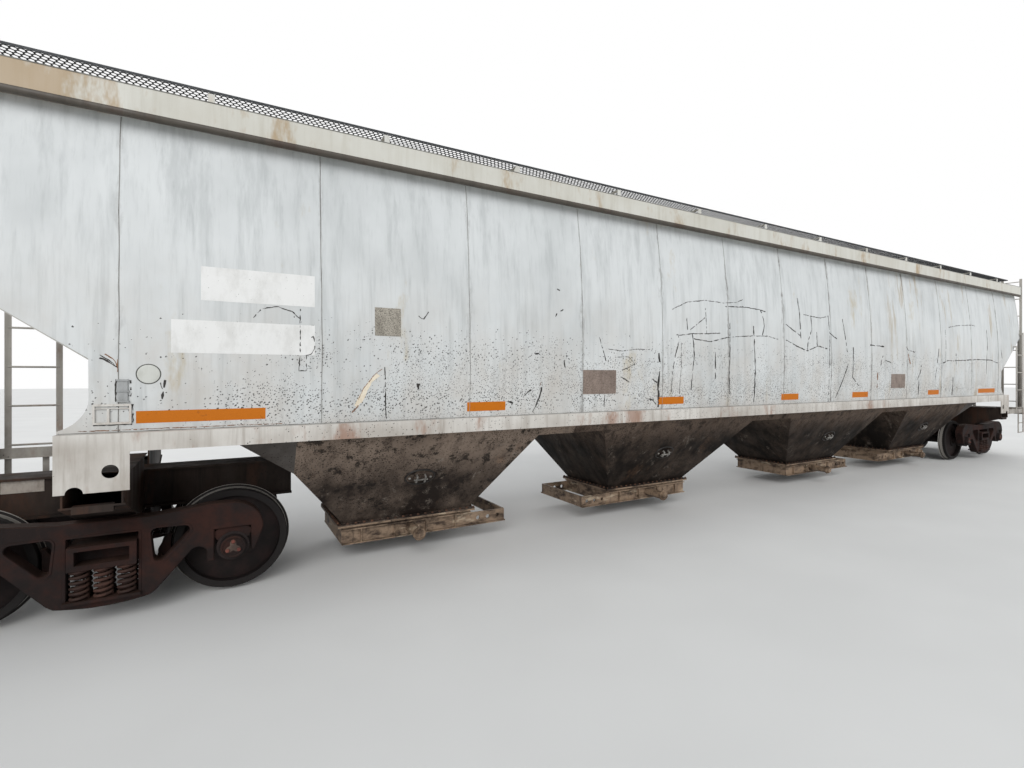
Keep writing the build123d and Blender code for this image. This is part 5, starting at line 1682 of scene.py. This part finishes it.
@dataclass
class BogieDetail:
    """Coil springs, bearing caps and bolts, and cast lips of one bogie."""

    paints: Paints
    end: End
    reach: float = 8.230
    seat: float = RAIL + 0.200
    top: float = RAIL + 0.440
    rows: tuple[float, float] = (0.944, 1.076)
    spacing: float = 0.148
    # radius to the middle of the bar, radius of the bar, turns, and points round the bar
    coils: tuple[tuple[float, float, float, int], ...] = (
        (0.0530, 0.0120, 6.4, 8), (0.0290, 0.0075, 8.2, 6),
    )
    cap_face: float = 1.140
    # radius, and distance out from the cap's face
    cap_rim: tuple[tuple[float, float], ...] = (
        (0.076, -0.001), (0.096, -0.001), (0.096, 0.004), (0.091, 0.009), (0.082, 0.009), (0.076, 0.004),
    )
    cap_bolt: tuple[tuple[float, float], ...] = ((0.017, 0.007), (0.017, 0.019), (0.013, 0.023))
    cap_bolt_circle: float = 0.050
    plate_radius: float = 0.048
    plate_swell: float = 0.020
    plate_faces: tuple[float, float] = (-0.001, 0.008)
    frame_face: float = 1.100
    # corners of the openings' outlines from the bogie's middle and over the rail
    triangle: tuple[tuple[float, float], ...] = ((0.290, 0.708), (0.640, 0.699), (0.324, 0.338))
    triangle_radius: float = 0.048
    window: tuple[tuple[float, float], ...] = (
        (-0.234, 0.699), (0.234, 0.699), (0.234, 0.176), (-0.234, 0.176),
    )
    window_radius: float = 0.020
    lip: tuple[tuple[float, float], ...] = (
        (-0.009, -0.002), (0.009, -0.002), (0.007, 0.005), (-0.007, 0.005),
    )

    @property
    def centre(self) -> float:
        """The bogie's place along the wagon."""
        return self.end.value * self.reach

    def build(self) -> None:
        """Builds the springs, the lips and the caps of the bogie's two wheelsets."""
        self.springs()
        self.lips()
        for number in (1, 2) if self.end is End.A else (3, 4):
            self.caps(number)

    def coil(self, shell: Shell, x: float, y: float, coil: tuple[float, float, float, int]) -> None:
        """Adds a coil: a circle whose height rises with the angle and levels off at both ends.

        Args:
            shell: The shell to add to.
            x: Place along the wagon.
            y: Place across it.
            coil: Radius to the middle of the bar, radius of the bar, turns, and points round the bar.
        """
        radius, bar, turns, sides = coil
        s = np.linspace(0, 1, int(turns * 20))
        angle = s * turns * 2 * np.pi
        ease = np.clip((s * turns - 0.6) / (turns - 1.2), 0, 1)
        z = self.seat + bar + ease * (self.top - self.seat - 2 * bar)
        out = np.stack([np.cos(angle), np.sin(angle), 0 * s], -1)
        line = np.stack([x + radius * out[:, 0], y + radius * out[:, 1], z], -1)
        shell.sweep(line, out, UP, circle_ring(bar, sides))

    def springs(self) -> None:
        """Outer and inner coils of the two spring groups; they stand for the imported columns."""
        shell = Shell()
        for side in Side:
            for step in (-1, 0, 1):
                for y in self.rows:
                    for coil in self.coils:
                        self.coil(shell, self.centre + step * self.spacing, side.value * y, coil)
        letter = self.end.name.lower()
        coils = shell.piece(f"coil_springs_{letter}", self.paints[Coat.SPRING], f"bogie_{letter}",
                            slot="spring_steel")
        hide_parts(f"springs_{letter}")

    def caps(self, number: int) -> None:
        """Bearing end caps of one wheelset: a rim, a three-cornered locking plate and three bolts.

        The plate's edge is a circle whose radius swells by a cosine of three times the angle.

        Args:
            number: The wheelset's number.
        """
        x, z = AXLES[number - 1], AXLE_Z
        rims, plates, bolts = Shell(), Shell(), Shell()
        turn = np.radians(90 + 120 * np.arange(3))
        corner = np.radians(np.arange(0, 360, 15))
        reach = self.plate_radius + self.plate_swell * np.cos(3 * (corner - np.pi / 2))
        ring = np.stack([np.cos(corner) * reach, np.sin(corner) * reach], -1)
        for side in Side:
            axis = np.array([0, float(side.value), 0])
            face = side.value * self.cap_face
            rims.copies(*turned_shape(self.cap_rim, 36, axis), np.array([[x, face, z]]))
            path = np.array([x, face, z]) + np.array(self.plate_faces)[:, None] * axis
            plates.sweep(path, ALONG, UP, ring)
            places = np.stack([x + self.cap_bolt_circle * np.cos(turn), np.full(3, face),
                               z + self.cap_bolt_circle * np.sin(turn)], -1)
            bolts.copies(*turned_shape(self.cap_bolt, 6, axis), places)
        body = f"wheelset_{number}"
        rims.piece(f"bearing_caps_{number}", self.paints[Coat.BOGIE], body, slot="wheel_steel")
        plates.piece(f"locking_plates_{number}", self.paints[Coat.LOCK], body, slot="wheel_steel")
        bolts.piece(f"cap_bolts_{number}", self.paints[Coat.CAP_BOLT], body, smooth=False,
                    slot="wheel_steel")

    def lips(self) -> None:
        """Cast lips round the three-cornered openings and the bolster window of both side frames."""
        letter = self.end.name.lower()
        shell = Shell()
        openings = [rounded_path(np.array(self.triangle) * (s, 1), self.triangle_radius) for s in (-1, 1)]
        openings.append(rounded_path(np.array(self.window), self.window_radius))
        for side in Side:
            for path in openings:
                face = np.full(len(path), side.value * self.frame_face)
                points = np.stack([self.centre + path[:, 0], face, RAIL + path[:, 1]], -1)
                shell.rim(points, np.array([0, float(side.value), 0]), np.array(self.lip))
        shell.piece(f"frame_lips_{letter}", self.paints[Coat.BOGIE], f"bogie_{letter}", slot="bogie_iron")


@dataclass
class Studio:
    """Pale floor, soft light and the camera."""

    floor_half: float = 120.0
    sky_colour: str = "#eceff3"
    sky_strength: float = 0.62
    # turn in degrees, strength, and spread in degrees
    suns: tuple[tuple[str, tuple[int, int, int], float, float], ...] = (
        ("key_sun", (62, 0, -28), 2.0, 45), ("back_sun", (58, 0, 150), 0.8, 45),
    )
    focal_px: float = 543.5
    yaw_deg: float = 32.76
    place: tuple[float, float, float] = (-7.429, -6.819, RAIL + 1.964)
    middle_px: tuple[float, float] = (571.1, 377.1)
    frame_px: tuple[int, int] = (1024, 768)
    sensor_mm: float = 36.0
    sight: float = 400.0

    def build(self) -> None:
        """Builds everything round the wagon."""
        self.floor()
        self.sky()
        self.lamps()
        self.camera()

    def floor(self) -> None:
        """Flat pale floor under the wheels."""
        mesh = bpy.data.meshes.new("studio_floor")
        steps = np.linspace(-self.floor_half, self.floor_half, 9)
        x, y = np.meshgrid(steps, steps)
        points = np.stack([x, y, np.zeros_like(x)], -1).reshape(-1, 3)
        mesh.from_pydata(points.tolist(), [], grid_quads(9, 9, False, False).tolist())
        recipe = Recipe("studio_floor_paint")
        tone = recipe.cover("#dcdcda", recipe.patches(0.2, 0.8, 0.6, detail=2.0), 1.0, "#e2e2e0")
        mesh.materials.append(recipe.finish(tone, 0.85))
        obj = bpy.data.objects.new("studio_floor", mesh)
        bpy.context.scene.collection.objects.link(obj)

    def sky(self) -> None:
        """White for the camera and for reflections, soft grey light for the wagon."""
        world = bpy.data.worlds.new("studio_world")
        bpy.context.scene.world = world
        world.use_nodes = True
        tree = world.node_tree
        tree.nodes.clear()
        ray = add(tree, "ShaderNodeLightPath").node.outputs
        mirrored = add(tree, MATHS, {"operation": "MAXIMUM", 0: ray["Is Glossy Ray"],
                                     1: ray["Is Transmission Ray"]})
        seen = add(tree, MATHS, {"operation": "MAXIMUM", 0: ray["Is Camera Ray"], 1: mirrored})
        white = add(tree, "ShaderNodeBackground", {"Color": "#ffffff", "Strength": 1.0})
        soft = add(tree, "ShaderNodeBackground", {"Color": self.sky_colour, "Strength": self.sky_strength})
        mix = add(tree, "ShaderNodeMixShader", {0: seen, 1: soft, 2: white})
        add(tree, "ShaderNodeOutputWorld", {"Surface": mix})

    def lamps(self) -> None:
        """A broad sun from the camera's side and a weak one from behind."""
        for name, turn, strength, spread in self.suns:
            data = bpy.data.lights.new(name, "SUN")
            data.energy = strength
            data.angle = math.radians(spread)
            lamp = bpy.data.objects.new(name, data)
            lamp.rotation_euler = [math.radians(a) for a in turn]
            bpy.context.scene.collection.objects.link(lamp)

    def camera(self) -> None:
        """Camera at the photo's place: its lens is focal pixels over frame pixels, times the sensor."""
        data = bpy.data.cameras.new("photo_camera")
        width, height = self.frame_px
        data.sensor_width = self.sensor_mm
        data.lens = self.focal_px / width * self.sensor_mm
        data.shift_x = (width / 2 - self.middle_px[0]) / width
        data.shift_y = (self.middle_px[1] - height / 2) / width
        data.clip_end = self.sight
        obj = bpy.data.objects.new("photo_camera", data)
        obj.location = self.place
        obj.rotation_euler = (math.radians(90), 0, -math.radians(self.yaw_deg))
        bpy.context.scene.collection.objects.link(obj)
        bpy.context.scene.camera = obj


def main() -> None:
    """Loads the frame and builds every sub-assembly in order."""
    logging.basicConfig(level=logging.INFO, format="%(name)s %(message)s")
    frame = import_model()
    bpy.context.scene.view_settings.view_transform = "Standard"
    paints = Paints()
    CarriedNodes(paints).dress(frame["nodes"])
    CurvedSides(paints).build()
    PaintScars(paints).build()
    TopEdges(paints).build()
    WalkMesh(paints).build()
    HopperFastenings(paints).build()
    for number in range(1, 9):
        LidHardware(paints, number).build()
    for end in End:
        BogieDetail(paints, end).build()
    Studio().build()


if __name__ == "__main__":
    main()
